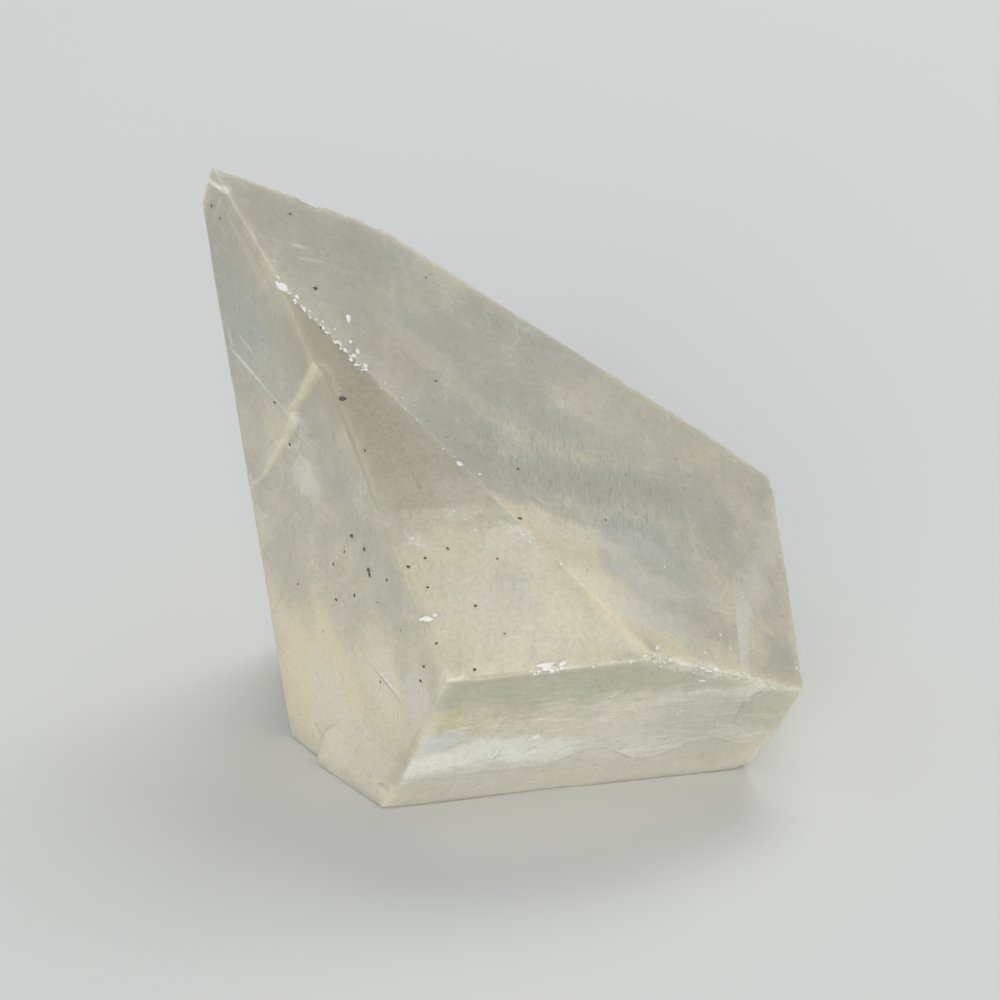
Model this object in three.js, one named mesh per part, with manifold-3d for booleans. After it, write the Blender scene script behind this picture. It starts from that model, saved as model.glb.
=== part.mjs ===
// A calcite crystal point: the end of a dog-tooth crystal (a scalenohedron) that has come away from
// its rock along the mineral's cleavage, and stands on the broken end with its tip leaning back.
// Millimetres, +Z up. The origin is on the rest face, under the middle of the crystal's box.
import * as THREE from "three";
import { mergeVertices } from "three/addons/utils/BufferGeometryUtils.js";
import Module from "manifold-3d";

// ---------------------------------------------------------------- driving dimensions

// The heart is the point inside the crystal that every face is measured from.
const HEART_HEIGHT = 12;
const HEART_OFFSET_X = 0.08; // centres the chipped crystal over the origin

// Each flat face is a plane: the bearing that it looks towards (degrees, counter-clockwise from +X
// as seen from above), how steeply it looks up (+) or down (-), and its distance from the heart.
const FACES = {
  left: { bearing: 214.0, rise: 0.9, reach: 12.26 },
  front_triangle: { bearing: 281.3, rise: 43.1, reach: 11.79 },
  upper_right: { bearing: 333.7, rise: 54.7, reach: 8.53 },
  right_shoulder: { bearing: 336.8, rise: 51.7, reach: 9.22 },
  front_cleavage: { bearing: 283.4, rise: -27.7, reach: 14.4 },
  right_cleavage: { bearing: 9.9, rise: -17.9, reach: 17.31 },
  back_right: { bearing: 72.1, rise: 21.9, reach: 12.75 },
  back: { bearing: 104.7, rise: 3.4, reach: 14.28 },
  far_left: { bearing: 178.7, rise: -9.7, reach: 15.12 },
  tip_break: { bearing: 99.9, rise: 20.4, reach: 16.22 },
  base: { bearing: 0, rise: -90, reach: HEART_HEIGHT },
};

// Steps in the faces. Outlines are drawn on the face as seen from outside: millimetres to the right
// and up the slope from the point that is nearest to the heart. `depth` is measured at the outline's
// first point, and the floor rises back to the face over `fade` millimetres along `fadeTowards`.
const STEPS = [
  {
    face: "left", // the growth ledge: everything below it lies a little deeper
    depth: 0.45,
    fade: 21,
    fadeTowards: [0.81, -0.59],
    outline: [
      [-1.9, 14.4], [-5.0, 10.4], [-7.0, 7.9], [-8.7, 5.2], [-13, -1],
      [-13, -15], [16, -15], [16, 6], [2, 18.5],
    ],
  },
  {
    face: "front_cleavage", // the lower skirt, under a wavy cleavage step
    depth: 0.2,
    outline: [
      [-12, -4.4], [-9.0, -4.3], [-8.0, -3.4], [-4.5, -3.1], [0.2, -2.9], [2.0, -1.7],
      [3.5, -1.3], [7.3, -1.5], [9.2, -1.0], [12.2, -2.6], [17, -2.4], [17, -9], [-12, -9],
    ],
  },
  {
    face: "front_cleavage", // the scoop at the right-hand end
    depth: 0.3,
    outline: [
      [10.9, 1.7], [12.4, 2.6], [13.9, 3.1], [18, 3.7], [18, -1.6], [14.0, -1.0], [12.0, -0.1],
    ],
  },
  {
    face: "right_cleavage", // two cleavage treads that step down towards the back
    depth: 0.5,
    outline: [
      [4.0, 3.0], [3.2, -0.5], [4.4, -3.0], [3.6, -5.5], [4.6, -14], [20, -14], [20, 3.6],
    ],
  },
  {
    face: "right_cleavage",
    depth: 0.9,
    outline: [[8.4, -1.2], [9.2, -4.5], [8.6, -14], [20, -14], [20, -0.5]],
  },
  {
    face: "back_right", // a growth ledge that crosses the back
    depth: 0.4,
    fade: 13,
    fadeTowards: [0, -1],
    outline: [
      [-9.5, -5.6], [-16, -7.5], [-20, -20], [12, -20], [12, 1.5], [3.2, -2.9], [-1.5, -2.4],
      [-6.0, -5.9],
    ],
  },
  {
    face: "far_left", // a low plate left standing near the back edge
    depth: 0.35,
    outline: [
      [-8.2, 8.7], [-14, 9.5], [-30, -16], [-6.0, -16], [-5.2, -4.6], [-7.4, -0.5], [-6.6, 4.2],
    ],
  },
];

// Small dimples in the faces: face, millimetres right and up, and the width.
const PITS = [
  ["front_cleavage", -1.1, 0.7, 1.3],
  ["front_cleavage", -0.8, -0.9, 1.0],
  ["front_cleavage", -4.8, 2.2, 1.1],
  ["front_cleavage", -8.0, 0.7, 1.2],
  ["front_cleavage", 5.6, 2.3, 0.9],
  ["far_left", 3.0, 4.0, 1.5],
  ["back", -3.5, 2.0, 1.4],
  ["back", 2.5, -5.5, 1.1],
];
const PIT_DEPTH = 0.16; // as a share of its width

// The edges that carry chips: the two faces that meet there, then the faces that end the edge.
const EDGES = {
  main_ridge: ["front_triangle", "upper_right", "left", "front_cleavage"],
  apex_ridge: ["left", "upper_right", "tip_break", "front_triangle"],
  left_ridge: ["left", "front_triangle", "upper_right", "front_cleavage"],
  front_edge: ["front_triangle", "front_cleavage", "left", "upper_right"],
  flake_edge: ["upper_right", "front_cleavage", "front_triangle", "right_shoulder"],
  shoulder_edge: ["right_shoulder", "front_cleavage", "upper_right", "right_cleavage"],
  tip_edge: ["upper_right", "tip_break", "left", "back_right"],
  right_edge: ["right_shoulder", "right_cleavage", "front_cleavage", "back_right"],
  toe_edge: ["front_cleavage", "right_cleavage", "right_shoulder", "base"],
  left_foot: ["left", "base", "far_left", "front_cleavage"],
  front_foot: ["front_cleavage", "base", "left", "right_cleavage"],
  back_foot: ["back", "base", "far_left", "back_right"],
  back_corner: ["back", "back_right", "tip_break", "base"],
  far_corner: ["far_left", "back", "tip_break", "base"],
  right_foot: ["right_cleavage", "base", "front_cleavage", "back_right"],
};

// Chips: edge, how far along it (0 to 1), size in millimetres, and stretch along the edge.
const CHIPS = [
  ["apex_ridge", 0.06, 0.8, 2.0],
  ["tip_edge", 0.0, 0.5, 1.2],
  ["tip_edge", 0.2, 0.5, 2.4],
  ["tip_edge", 0.42, 0.55, 2.0],
  ["tip_edge", 0.62, 0.45, 2.2],
  ["tip_edge", 0.84, 0.5, 2.6],
  ["main_ridge", 0.0, 0.6, 1.6],
  ["main_ridge", 0.07, 0.35, 2.2],
  ["main_ridge", 0.13, 0.4, 1.5],
  ["main_ridge", 0.19, 0.5, 1.6],
  ["main_ridge", 0.23, 0.45, 1.4],
  ["main_ridge", 0.33, 0.3, 2.4],
  ["main_ridge", 0.48, 0.4, 1.2],
  ["main_ridge", 0.54, 0.3, 1.8],
  ["left_ridge", 0.86, 0.35, 1.6],
  ["front_edge", 0.48, 0.6, 2.6],
  ["front_edge", 0.8, 0.3, 3.0],
  ["flake_edge", 0.0, 0.7, 1.2],
  ["flake_edge", 0.35, 0.6, 2.2],
  ["flake_edge", 0.75, 0.65, 2.0],
  ["shoulder_edge", 0.3, 0.5, 1.8],
  ["shoulder_edge", 1.0, 0.6, 1.3],
  ["right_edge", 1.0, 0.5, 1.6],
  ["right_edge", 0.12, 0.5, 1.4],
  ["toe_edge", 0.14, 0.6, 2.0],
  ["toe_edge", 0.97, 0.7, 1.4],
  ["front_foot", 0.03, 0.8, 1.2],
  ["front_foot", 0.3, 0.35, 3.0],
  ["front_foot", 0.66, 0.3, 3.0],
  ["left_foot", 0.02, 0.6, 1.2],
  ["left_foot", 0.3, 1.1, 1.3],
  ["left_foot", 0.62, 0.4, 2.0],
  ["back_foot", 0.25, 1.0, 2.0],
  ["back_foot", 0.7, 0.7, 2.6],
  ["back_corner", 0.3, 0.6, 2.2],
  ["back_corner", 0.85, 1.1, 1.6],
  ["far_corner", 0.55, 0.7, 2.2],
  ["right_foot", 0.45, 0.8, 2.0],
  ["right_foot", 0.85, 1.1, 1.4],
];
const CHIP_STANDOFF = 0.45; // how far out of the edge a chip's centre lies, as a share of its size
const CHIP_TWIST = 2.4; // radians each chip is turned from the one before, so that no two look alike

const BIG = 120; // larger than the crystal every way
const CLEARANCE = 3; // how far a cutter stands out of the face that it cuts
const UP = new THREE.Vector3(0, 0, 1);
const HEART = new THREE.Vector3(HEART_OFFSET_X, 0, HEART_HEIGHT);
const CALCITE = new THREE.MeshStandardMaterial({
  name: "milky_calcite",
  color: "#c3c0ae",
  roughness: 0.32,
  metalness: 0,
});

// ---------------------------------------------------------------- geometry

const wasm = await Module();
wasm.setup();

// A closed three.js geometry as a solid.
function solidOf(geometry) {
  geometry.deleteAttribute("normal");
  geometry.deleteAttribute("uv");
  const merged = mergeVertices(geometry, 1e-4);
  return new wasm.Manifold(
    new wasm.Mesh({
      numProp: 3,
      vertProperties: merged.attributes.position.array,
      triVerts: new Uint32Array(merged.index.array),
    }),
  );
}

// A solid as a three.js geometry.
function geometryOf(solid) {
  const mesh = solid.getMesh();
  const geometry = new THREE.BufferGeometry();
  geometry.setAttribute("position", new THREE.BufferAttribute(mesh.vertProperties, 3));
  geometry.setIndex(new THREE.BufferAttribute(mesh.triVerts, 1));
  geometry.computeVertexNormals();
  return geometry;
}

// The direction that a face looks towards.
function normalOf(name) {
  const { bearing, rise } = FACES[name];
  return UP.clone()
    .applyAxisAngle(new THREE.Vector3(0, 1, 0), THREE.MathUtils.degToRad(90 - rise))
    .applyAxisAngle(UP, THREE.MathUtils.degToRad(bearing));
}

// A face's own frame: x to the right and y up the slope as seen from outside, z outwards, and its
// origin where the perpendicular from the heart meets the face.
function frameOf(name) {
  const normal = normalOf(name);
  const { bearing, reach } = FACES[name];
  const right = new THREE.Vector3(0, 1, 0).applyAxisAngle(UP, THREE.MathUtils.degToRad(bearing));
  const slope = normal.clone().cross(right);
  return new THREE.Matrix4()
    .makeBasis(right, slope, normal)
    .setPosition(HEART.clone().addScaledVector(normal, reach));
}

// The corner where three faces meet.
function cornerOf(a, b, c) {
  const normals = [a, b, c].map(normalOf);
  const rows = new THREE.Matrix3().set(...normals.flatMap((n) => n.toArray()));
  const reaches = new THREE.Vector3(FACES[a].reach, FACES[b].reach, FACES[c].reach);
  return reaches.applyMatrix3(rows.invert()).add(HEART);
}

// Everything outside one face.
function outsideOf(name) {
  const block = new THREE.BoxGeometry(BIG, BIG, BIG);
  block.translate(0, 0, BIG / 2);
  return solidOf(block.applyMatrix4(frameOf(name)));
}

// The material that is missing where a face steps down.
function stepCutter({ face, outline, depth, fade = Infinity, fadeTowards = [1, 0] }) {
  const shape = new THREE.Shape(outline.map(([x, y]) => new THREE.Vector2(x, y)));
  const block = new THREE.ExtrudeGeometry(shape, { depth: 1, bevelEnabled: false });
  const position = block.attributes.position;
  const [startX, startY] = outline[0];
  for (let i = 0; i < position.count; i++) {
    const along =
      (position.getX(i) - startX) * fadeTowards[0] + (position.getY(i) - startY) * fadeTowards[1];
    const floor = -depth * (1 - along / fade);
    position.setZ(i, position.getZ(i) > 0.5 ? CLEARANCE : floor);
  }
  return solidOf(block.applyMatrix4(frameOf(face)));
}

// A shallow dimple: a flattened ball sunk halfway into the face.
function pitCutter([face, x, y, width]) {
  const ball = new THREE.IcosahedronGeometry(width / 2, 1);
  ball.scale(1, 0.6, 2 * PIT_DEPTH);
  ball.rotateZ(x + y);
  ball.translate(x, y, 0);
  return solidOf(ball.applyMatrix4(frameOf(face)));
}

// A chip off an edge: an eight-sided splinter laid along it, so that the break has flat facets.
function chipCutter([edge, at, size, stretch], index) {
  const [a, b, startFace, endFace] = EDGES[edge];
  const start = cornerOf(a, b, startFace);
  const end = cornerOf(a, b, endFace);
  const along = end.clone().sub(start).normalize();
  const outward = normalOf(a).add(normalOf(b)).normalize();
  const across = outward.clone().cross(along).normalize();
  const splinter = new THREE.OctahedronGeometry(size);
  splinter.rotateX(index * CHIP_TWIST);
  splinter.rotateZ(index * CHIP_TWIST);
  splinter.scale(stretch, 1, 1);
  const place = new THREE.Matrix4()
    .makeBasis(along, across, outward)
    .setPosition(start.lerp(end, at).addScaledVector(outward, size * CHIP_STANDOFF));
  return solidOf(splinter.applyMatrix4(place));
}

function crystal() {
  let solid = solidOf(new THREE.BoxGeometry(BIG, BIG, BIG));
  const cutters = [
    ...Object.keys(FACES).map(outsideOf),
    ...STEPS.map(stepCutter),
    ...PITS.map(pitCutter),
    ...CHIPS.map(chipCutter),
  ];
  for (const cutter of cutters) solid = solid.subtract(cutter);
  // Two cuts that meet can leave a loose splinter, so only the largest body is kept.
  const [whole] = solid.decompose().sort((a, b) => b.volume() - a.volume());
  const mesh = new THREE.Mesh(geometryOf(whole), CALCITE);
  mesh.name = "calcite_crystal";
  return mesh;
}

const part = new THREE.Group();
part.name = "calcite_crystal_point";
part.add(crystal());

export default part;
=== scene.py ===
import itertools
import math

import bpy
import numpy as np
from bpy.props import FloatProperty, FloatVectorProperty, IntProperty, PointerProperty
from mathutils import Matrix, Vector


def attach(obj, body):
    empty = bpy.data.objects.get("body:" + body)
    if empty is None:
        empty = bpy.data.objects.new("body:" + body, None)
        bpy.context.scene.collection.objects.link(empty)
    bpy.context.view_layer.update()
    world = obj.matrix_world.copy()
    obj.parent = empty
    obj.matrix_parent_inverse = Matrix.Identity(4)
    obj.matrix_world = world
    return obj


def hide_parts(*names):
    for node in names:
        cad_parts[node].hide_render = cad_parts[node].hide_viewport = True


bl_info = {
    "name": "Calcite crystal point",
    "version": (1, 0, 0),
    "blender": (4, 5, 0),
    "location": "3D View > Sidebar > Calcite",
    "description": "A milky dog-tooth calcite point with worn faces and mineral grains",
    "category": "Add Mesh",
}

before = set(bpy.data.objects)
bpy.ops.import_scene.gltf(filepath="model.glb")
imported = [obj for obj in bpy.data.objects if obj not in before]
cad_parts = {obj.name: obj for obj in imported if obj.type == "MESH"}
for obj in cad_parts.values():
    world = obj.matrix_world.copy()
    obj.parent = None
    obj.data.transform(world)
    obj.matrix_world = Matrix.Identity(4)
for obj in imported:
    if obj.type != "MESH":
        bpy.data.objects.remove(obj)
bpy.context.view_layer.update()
CAD_NODE = "calcite_crystal"
MM = 0.001  # shapes are worked out in millimetres, and written to the meshes in metres

# ------------------------------------------------------------ the crystal's form, in millimetres

# The heart is the point inside the crystal that every face is measured from.
HEART = np.array([0.08, 0.0, 12.0])

# Each flat face: the bearing that it looks towards (degrees, counter-clockwise from +X as seen from
# above), how steeply it looks up (+) or down (-), and its distance from the heart. The last number
# is the spacing of the mesh points on it: finer where the face has finer relief.
FACES = {
    "left": (214.0, 0.9, 12.26, 0.165),
    "front_triangle": (281.3, 43.1, 11.79, 0.165),
    "upper_right": (333.7, 54.7, 8.53, 0.24),
    "right_shoulder": (336.8, 51.7, 9.22, 0.22),
    "front_cleavage": (283.4, -27.7, 14.4, 0.13),
    "right_cleavage": (9.9, -17.9, 17.31, 0.27),
    "back_right": (72.1, 21.9, 12.75, 0.33),
    "back": (104.7, 3.4, 14.28, 0.33),
    "far_left": (178.7, -9.7, 15.12, 0.33),
    "tip_break": (99.9, 20.4, 16.22, 0.24),
    "base": (0.0, -90.0, 12.0, 0.9),
}
NAMES = list(FACES)

# The three cleavage directions of the crystal: the normals of its cleavage rhomb.
CLEAVAGE = {
    "level": (0.058, -0.293, 0.954),
    "front": (-0.222, 0.814, 0.537),
    "side": (-0.948, -0.131, 0.290),
}
# One old cleavage crack runs right through the crystal, parallel to the level cleavage: this is its
# distance from the origin. The calcite above it is a shade darker.
CRACK_REACH = 21.35

# Steps in the faces. Outlines are drawn on the face as seen from outside: millimetres to the right
# and up the slope from the point that is nearest to the heart. The face is lower inside the
# outline. `depth` holds at the outline's first point, and the floor rises back to the face over
# `fade` millimetres along `fade_towards`. The riser slopes over `run` times its depth. Except on
# a `milky` step, it carries painted shade. A `layer` step's floor is of another layer of calcite.
STEPS = [
    {
        "face": "left",  # the growth ledge: everything below it lies a little deeper
        "depth": 0.7, "run": 1.05, "fade": 13.2, "fade_towards": (0.11, -0.994), "milky": True,
        "outline": [
            (-2.2, 14.9), (-4.0, 12.4), (-5.8, 10.0), (-5.3, 10.2), (-5.4, 9.5), (-6.5, 7.9),
            (-7.7, 6.2), (-10.3, 3.2), (-14, -1.5), (-14, -15), (16, -15), (16, 6), (2, 18.5),
        ],
    },
    {
        "face": "left",  # the foot that still stands proud beside the notch in the bottom edge
        "depth": -0.55, "run": 0.5, "fade": 4.4, "fade_towards": (0.5, 0.87),
        "outline": [(-1.5, -12.6), (-1.7, -11.4), (-1.0, -9.6), (1.0, -8.0), (8, -8), (8, -13)],
    },
    {
        "face": "front_cleavage",  # the lower skirt, under a wavy cleavage step
        "depth": 0.32, "run": 0.9, "layer": True,
        "outline": [
            (-12, -4.0), (-10.4, -3.6), (-9.4, -3.7), (-8.1, -3.2), (-7.1, -2.9), (-4.6, -2.8),
            (0.1, -2.8), (2.0, -1.8), (3.4, -1.3), (4.8, -2.3), (6.2, -3.4), (7.3, -3.2),
            (8.9, -2.1), (10.5, -1.6), (12.5, -2.8), (17, -2.4), (17, -9), (-12, -9),
        ],
    },
    {
        "face": "front_cleavage",  # the dip under the flaked corner at the right-hand end
        "depth": 0.22, "run": 0.8, "fade": 4.5, "fade_towards": (-0.2, -0.98),
        "outline": [
            (12.0, 2.3), (12.8, 2.9), (13.8, 2.7), (15.0, 2.6), (18, 2.6), (18, -2.5), (13.5, -2.0),
            (11.6, -0.3),
        ],
    },
    {
        "face": "right_cleavage",  # a cleavage tread that steps down towards the back
        "depth": 0.5, "run": 0.8,
        "outline": [
            (4.0, 3.0), (3.2, -0.5), (4.4, -3.0), (3.6, -5.5), (4.6, -14), (20, -14), (20, 3.6),
        ],
    },
    {
        "face": "back_right",  # a growth ledge that crosses the back
        "depth": 0.4, "run": 0.6, "fade": 13.0, "fade_towards": (0, -1),
        "outline": [
            (-9.5, -5.6), (-16, -7.5), (-20, -20), (12, -20), (12, 1.5), (3.2, -2.9),
            (-1.5, -2.4), (-6.0, -5.9),
        ],
    },
    {
        "face": "far_left",  # a low plate left standing near the back edge
        "depth": 0.35, "run": 0.5,
        "outline": [
            (-8.2, 8.7), (-14, 9.5), (-30, -16), (-6.0, -16), (-5.2, -4.6), (-7.4, -0.5),
            (-6.6, 4.2),
        ],
    },
]
STEP_WAVER = 0.1  # how far a step's line wanders from its straight stretches
FADE_LEAST, FADE_MOST = 0.06, 1.3  # the shares of its depth that a fading step keeps within
MARK_BLUR = 0.2  # a step's marks ease in over this width

# Fine terraces on the broken faces, where the break follows the cleavage in many low treads: face,
# turn of the treads' lines from level (degrees), spacing and rise in millimetres.
TERRACES = [
    ("front_cleavage", 4, 1.5, 0.022),
    ("front_cleavage", 62, 3.1, 0.016),
    ("right_cleavage", 18, 1.4, 0.05),
    ("tip_break", -35, 0.9, 0.06),
]
TREAD = 0.85  # the share of a terrace's spacing that its tread takes
TERRACE_WAVER = 0.5  # how far a terrace's line wanders

# Half-moon nicks in each face, steep along the upper side: millimetres right and up, length,
# half-width, turn of the length from level (degrees, counter-clockwise) and depth.
NICKS = {
    "front_cleavage": [
        (-0.9, 0.5, 1.25, 0.32, 16, 0.42), (-1.0, -1.0, 0.95, 0.34, 24, 0.36),
        (-8.6, 0.8, 0.8, 0.26, 8, 0.3), (-9.1, -0.7, 0.7, 0.26, 50, 0.28),
        (-2.9, -1.3, 0.7, 0.2, 66, 0.24), (5.9, -3.6, 1.9, 0.22, 18, 0.24),
        (5.0, -1.7, 0.7, 0.15, 58, 0.16), (-3.8, -4.6, 0.5, 0.14, 20, 0.15),
        (-5.8, -5.2, 0.9, 0.15, 14, 0.15), (1.6, -1.0, 1.6, 0.14, 12, 0.13),
        (5.2, 3.4, 0.6, 0.18, 40, 0.2), (8.0, 1.6, 0.7, 0.16, 62, 0.18),
        (10.6, -0.8, 0.6, 0.18, 52, 0.18), (12.2, 2.0, 0.7, 0.26, 20, 0.28),
        (12.2, -2.8, 0.7, 0.16, 44, 0.16), (-5.0, 2.6, 1.0, 0.14, 12, 0.12),
        (2.9, 1.8, 1.3, 0.14, 16, 0.12),
    ],
    "left": [
        (5.9, -3.3, 3.2, 0.14, -16, 0.11), (5.6, -10.6, 1.5, 0.3, 6, 0.15),
        (-2.1, -10.3, 1.5, 0.4, -20, 0.15), (-3.6, 9.2, 1.4, 0.3, 35, 0.1),
    ],
    "far_left": [(3.0, 4.0, 1.5, 0.9, 40, 0.2), (-1.4, -2.2, 2.2, 0.4, 64, 0.1)],
    "back": [
        (-3.5, 2.0, 1.4, 0.9, 20, 0.2), (2.5, -5.5, 1.1, 0.7, -30, 0.15),
        (5.2, 3.4, 2.6, 0.4, -50, 0.1),
    ],
    "back_right": [(-2.0, 3.0, 2.4, 0.4, 60, 0.1)],
    "right_cleavage": [(-2.4, -1.8, 1.8, 0.5, 15, 0.12)],
}
NICK_WAVER = 0.2  # how far a nick's outline wanders
DEEP_NICK = 0.35  # a nick this deep gets the full painted shade on its wall

# The edges that carry chips: the two faces that meet there, then the faces that end the edge.
EDGES = {
    "main_ridge": ("front_triangle", "upper_right", "left", "front_cleavage"),
    "apex_ridge": ("left", "upper_right", "tip_break", "front_triangle"),
    "left_ridge": ("left", "front_triangle", "upper_right", "front_cleavage"),
    "front_edge": ("front_triangle", "front_cleavage", "left", "upper_right"),
    "flake_edge": ("upper_right", "front_cleavage", "front_triangle", "right_shoulder"),
    "shoulder_edge": ("right_shoulder", "front_cleavage", "upper_right", "right_cleavage"),
    "tip_edge": ("upper_right", "tip_break", "left", "back_right"),
    "tip_side": ("left", "tip_break", "upper_right", "far_left"),
    "back_ridge": ("upper_right", "back_right", "tip_break", "right_shoulder"),
    "right_edge": ("right_shoulder", "right_cleavage", "front_cleavage", "back_right"),
    "toe_edge": ("front_cleavage", "right_cleavage", "right_shoulder", "base"),
    "corner_edge": ("left", "front_cleavage", "front_triangle", "base"),
    "left_edge": ("left", "far_left", "tip_break", "base"),
    "left_foot": ("left", "base", "far_left", "front_cleavage"),
    "front_foot": ("front_cleavage", "base", "left", "right_cleavage"),
    "back_foot": ("back", "base", "far_left", "back_right"),
    "back_corner": ("back", "back_right", "tip_break", "base"),
    "far_corner": ("far_left", "back", "tip_break", "base"),
    "right_foot": ("right_cleavage", "base", "front_cleavage", "back_right"),
}

# Flakes struck off the edges, each leaving a scooped facet: how far along the edge (0 to 1), length
# and depth in millimetres, and lean: 0 faces as the edge's first face does, 1 as its second.
SCOOPS = {
    "apex_ridge": [(0.17, 1.2, 0.08, 0.25), (0.97, 1.0, 0.12, 0.6)],
    "tip_edge": [(0.1, 1.6, 0.08, 0.4), (0.6, 3.0, 0.26, 0.5), (0.97, 1.6, 0.25, 0.5)],
    "main_ridge": [
        (0.01, 1.0, 0.1, 0.6), (0.185, 1.1, 0.07, 0.7), (0.22, 0.9, 0.06, 0.4),
        (0.335, 1.1, 0.03, 0.5),
    ],
    "left_ridge": [(0.19, 0.7, 0.07, 0.8)],
    "front_edge": [(0.2, 2.8, 0.06, 0.6), (0.48, 1.4, 0.2, 0.45), (0.8, 2.4, 0.07, 0.6)],
    "flake_edge": [
        (0.02, 1.3, 0.3, 0.4), (0.3, 2.4, 0.34, 0.6), (0.62, 2.2, 0.42, 0.6), (0.9, 1.6, 0.36, 0.5),
    ],
    "shoulder_edge": [(0.12, 1.2, 0.26, 0.5), (0.42, 2.2, 0.34, 0.62), (0.85, 1.4, 0.18, 0.5)],
    "right_edge": [(0.03, 1.2, 0.12, 0.5), (0.985, 1.7, 0.2, 0.5)],
    "toe_edge": [(0.12, 1.6, 0.3, 0.5), (0.98, 1.6, 0.45, 0.5)],
    "corner_edge": [(0.34, 1.5, 0.1, 0.4), (0.8, 2.0, 0.14, 0.5)],
    "left_edge": [(0.35, 1.6, 0.08, 0.5)],
    "left_foot": [(0.14, 2.0, 0.16, 0.3), (0.28, 1.5, 0.14, 0.3)],
    "front_foot": [
        (0.15, 2.0, 0.08, 0.3), (0.42, 2.6, 0.1, 0.3), (0.7, 2.0, 0.08, 0.3),
        (0.98, 1.6, 0.34, 0.4),
    ],
    "back_foot": [(0.25, 4.0, 0.5, 0.4), (0.7, 3.0, 0.4, 0.4)],
    "back_corner": [(0.3, 3.0, 0.35, 0.5), (0.85, 3.0, 0.6, 0.4)],
    "far_corner": [(0.55, 3.0, 0.4, 0.6)],
    "right_foot": [(0.45, 3.0, 0.4, 0.4), (0.85, 3.0, 0.6, 0.4)],
    "back_ridge": [(0.3, 1.2, 0.06, 0.5), (0.74, 1.5, 0.06, 0.5)],
}

# Sharp splinters broken out of the edges: edge, how far along it, size and stretch along the edge.
SPLINTERS = [
    ("front_edge", 0.5, 0.3, 1.6),
    ("flake_edge", 0.0, 0.45, 1.0),
    ("flake_edge", 0.8, 0.4, 1.6),
    ("shoulder_edge", 0.62, 0.4, 1.4),
    ("right_edge", 0.1, 0.4, 1.4),
    ("back_corner", 0.6, 0.8, 1.6),
    ("far_corner", 0.3, 0.6, 2.0),
]
STANDOFF = 0.15  # how far out of the edge a splinter's centre lies, as a share of its size
TWIST = 2.4  # radians each splinter is turned from the one before, so that no two look alike

# Edges nibbled by small splinters all along: edge, from, to (0 to 1), how many, and their size.
NIBBLES = [
    ("main_ridge", 0.0, 0.3, 44, 0.13),
    ("main_ridge", 0.3, 0.62, 20, 0.09),
    ("apex_ridge", 0.0, 1.0, 4, 0.09),
    ("tip_edge", 0.0, 1.0, 12, 0.16),
    ("flake_edge", 0.0, 1.0, 18, 0.26),
    ("front_edge", 0.05, 1.0, 10, 0.1),
    ("shoulder_edge", 0.0, 1.0, 8, 0.2),
    ("right_edge", 0.0, 1.0, 10, 0.12),
    ("toe_edge", 0.0, 1.0, 6, 0.14),
    ("left_foot", 0.0, 1.0, 12, 0.2),
    ("front_foot", 0.0, 1.0, 16, 0.12),
    ("right_foot", 0.0, 1.0, 14, 0.26),
    ("back_foot", 0.0, 1.0, 20, 0.28),
    ("back_corner", 0.0, 1.0, 12, 0.24),
    ("far_corner", 0.0, 1.0, 14, 0.22),
    ("left_edge", 0.1, 1.0, 8, 0.08),
]
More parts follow.
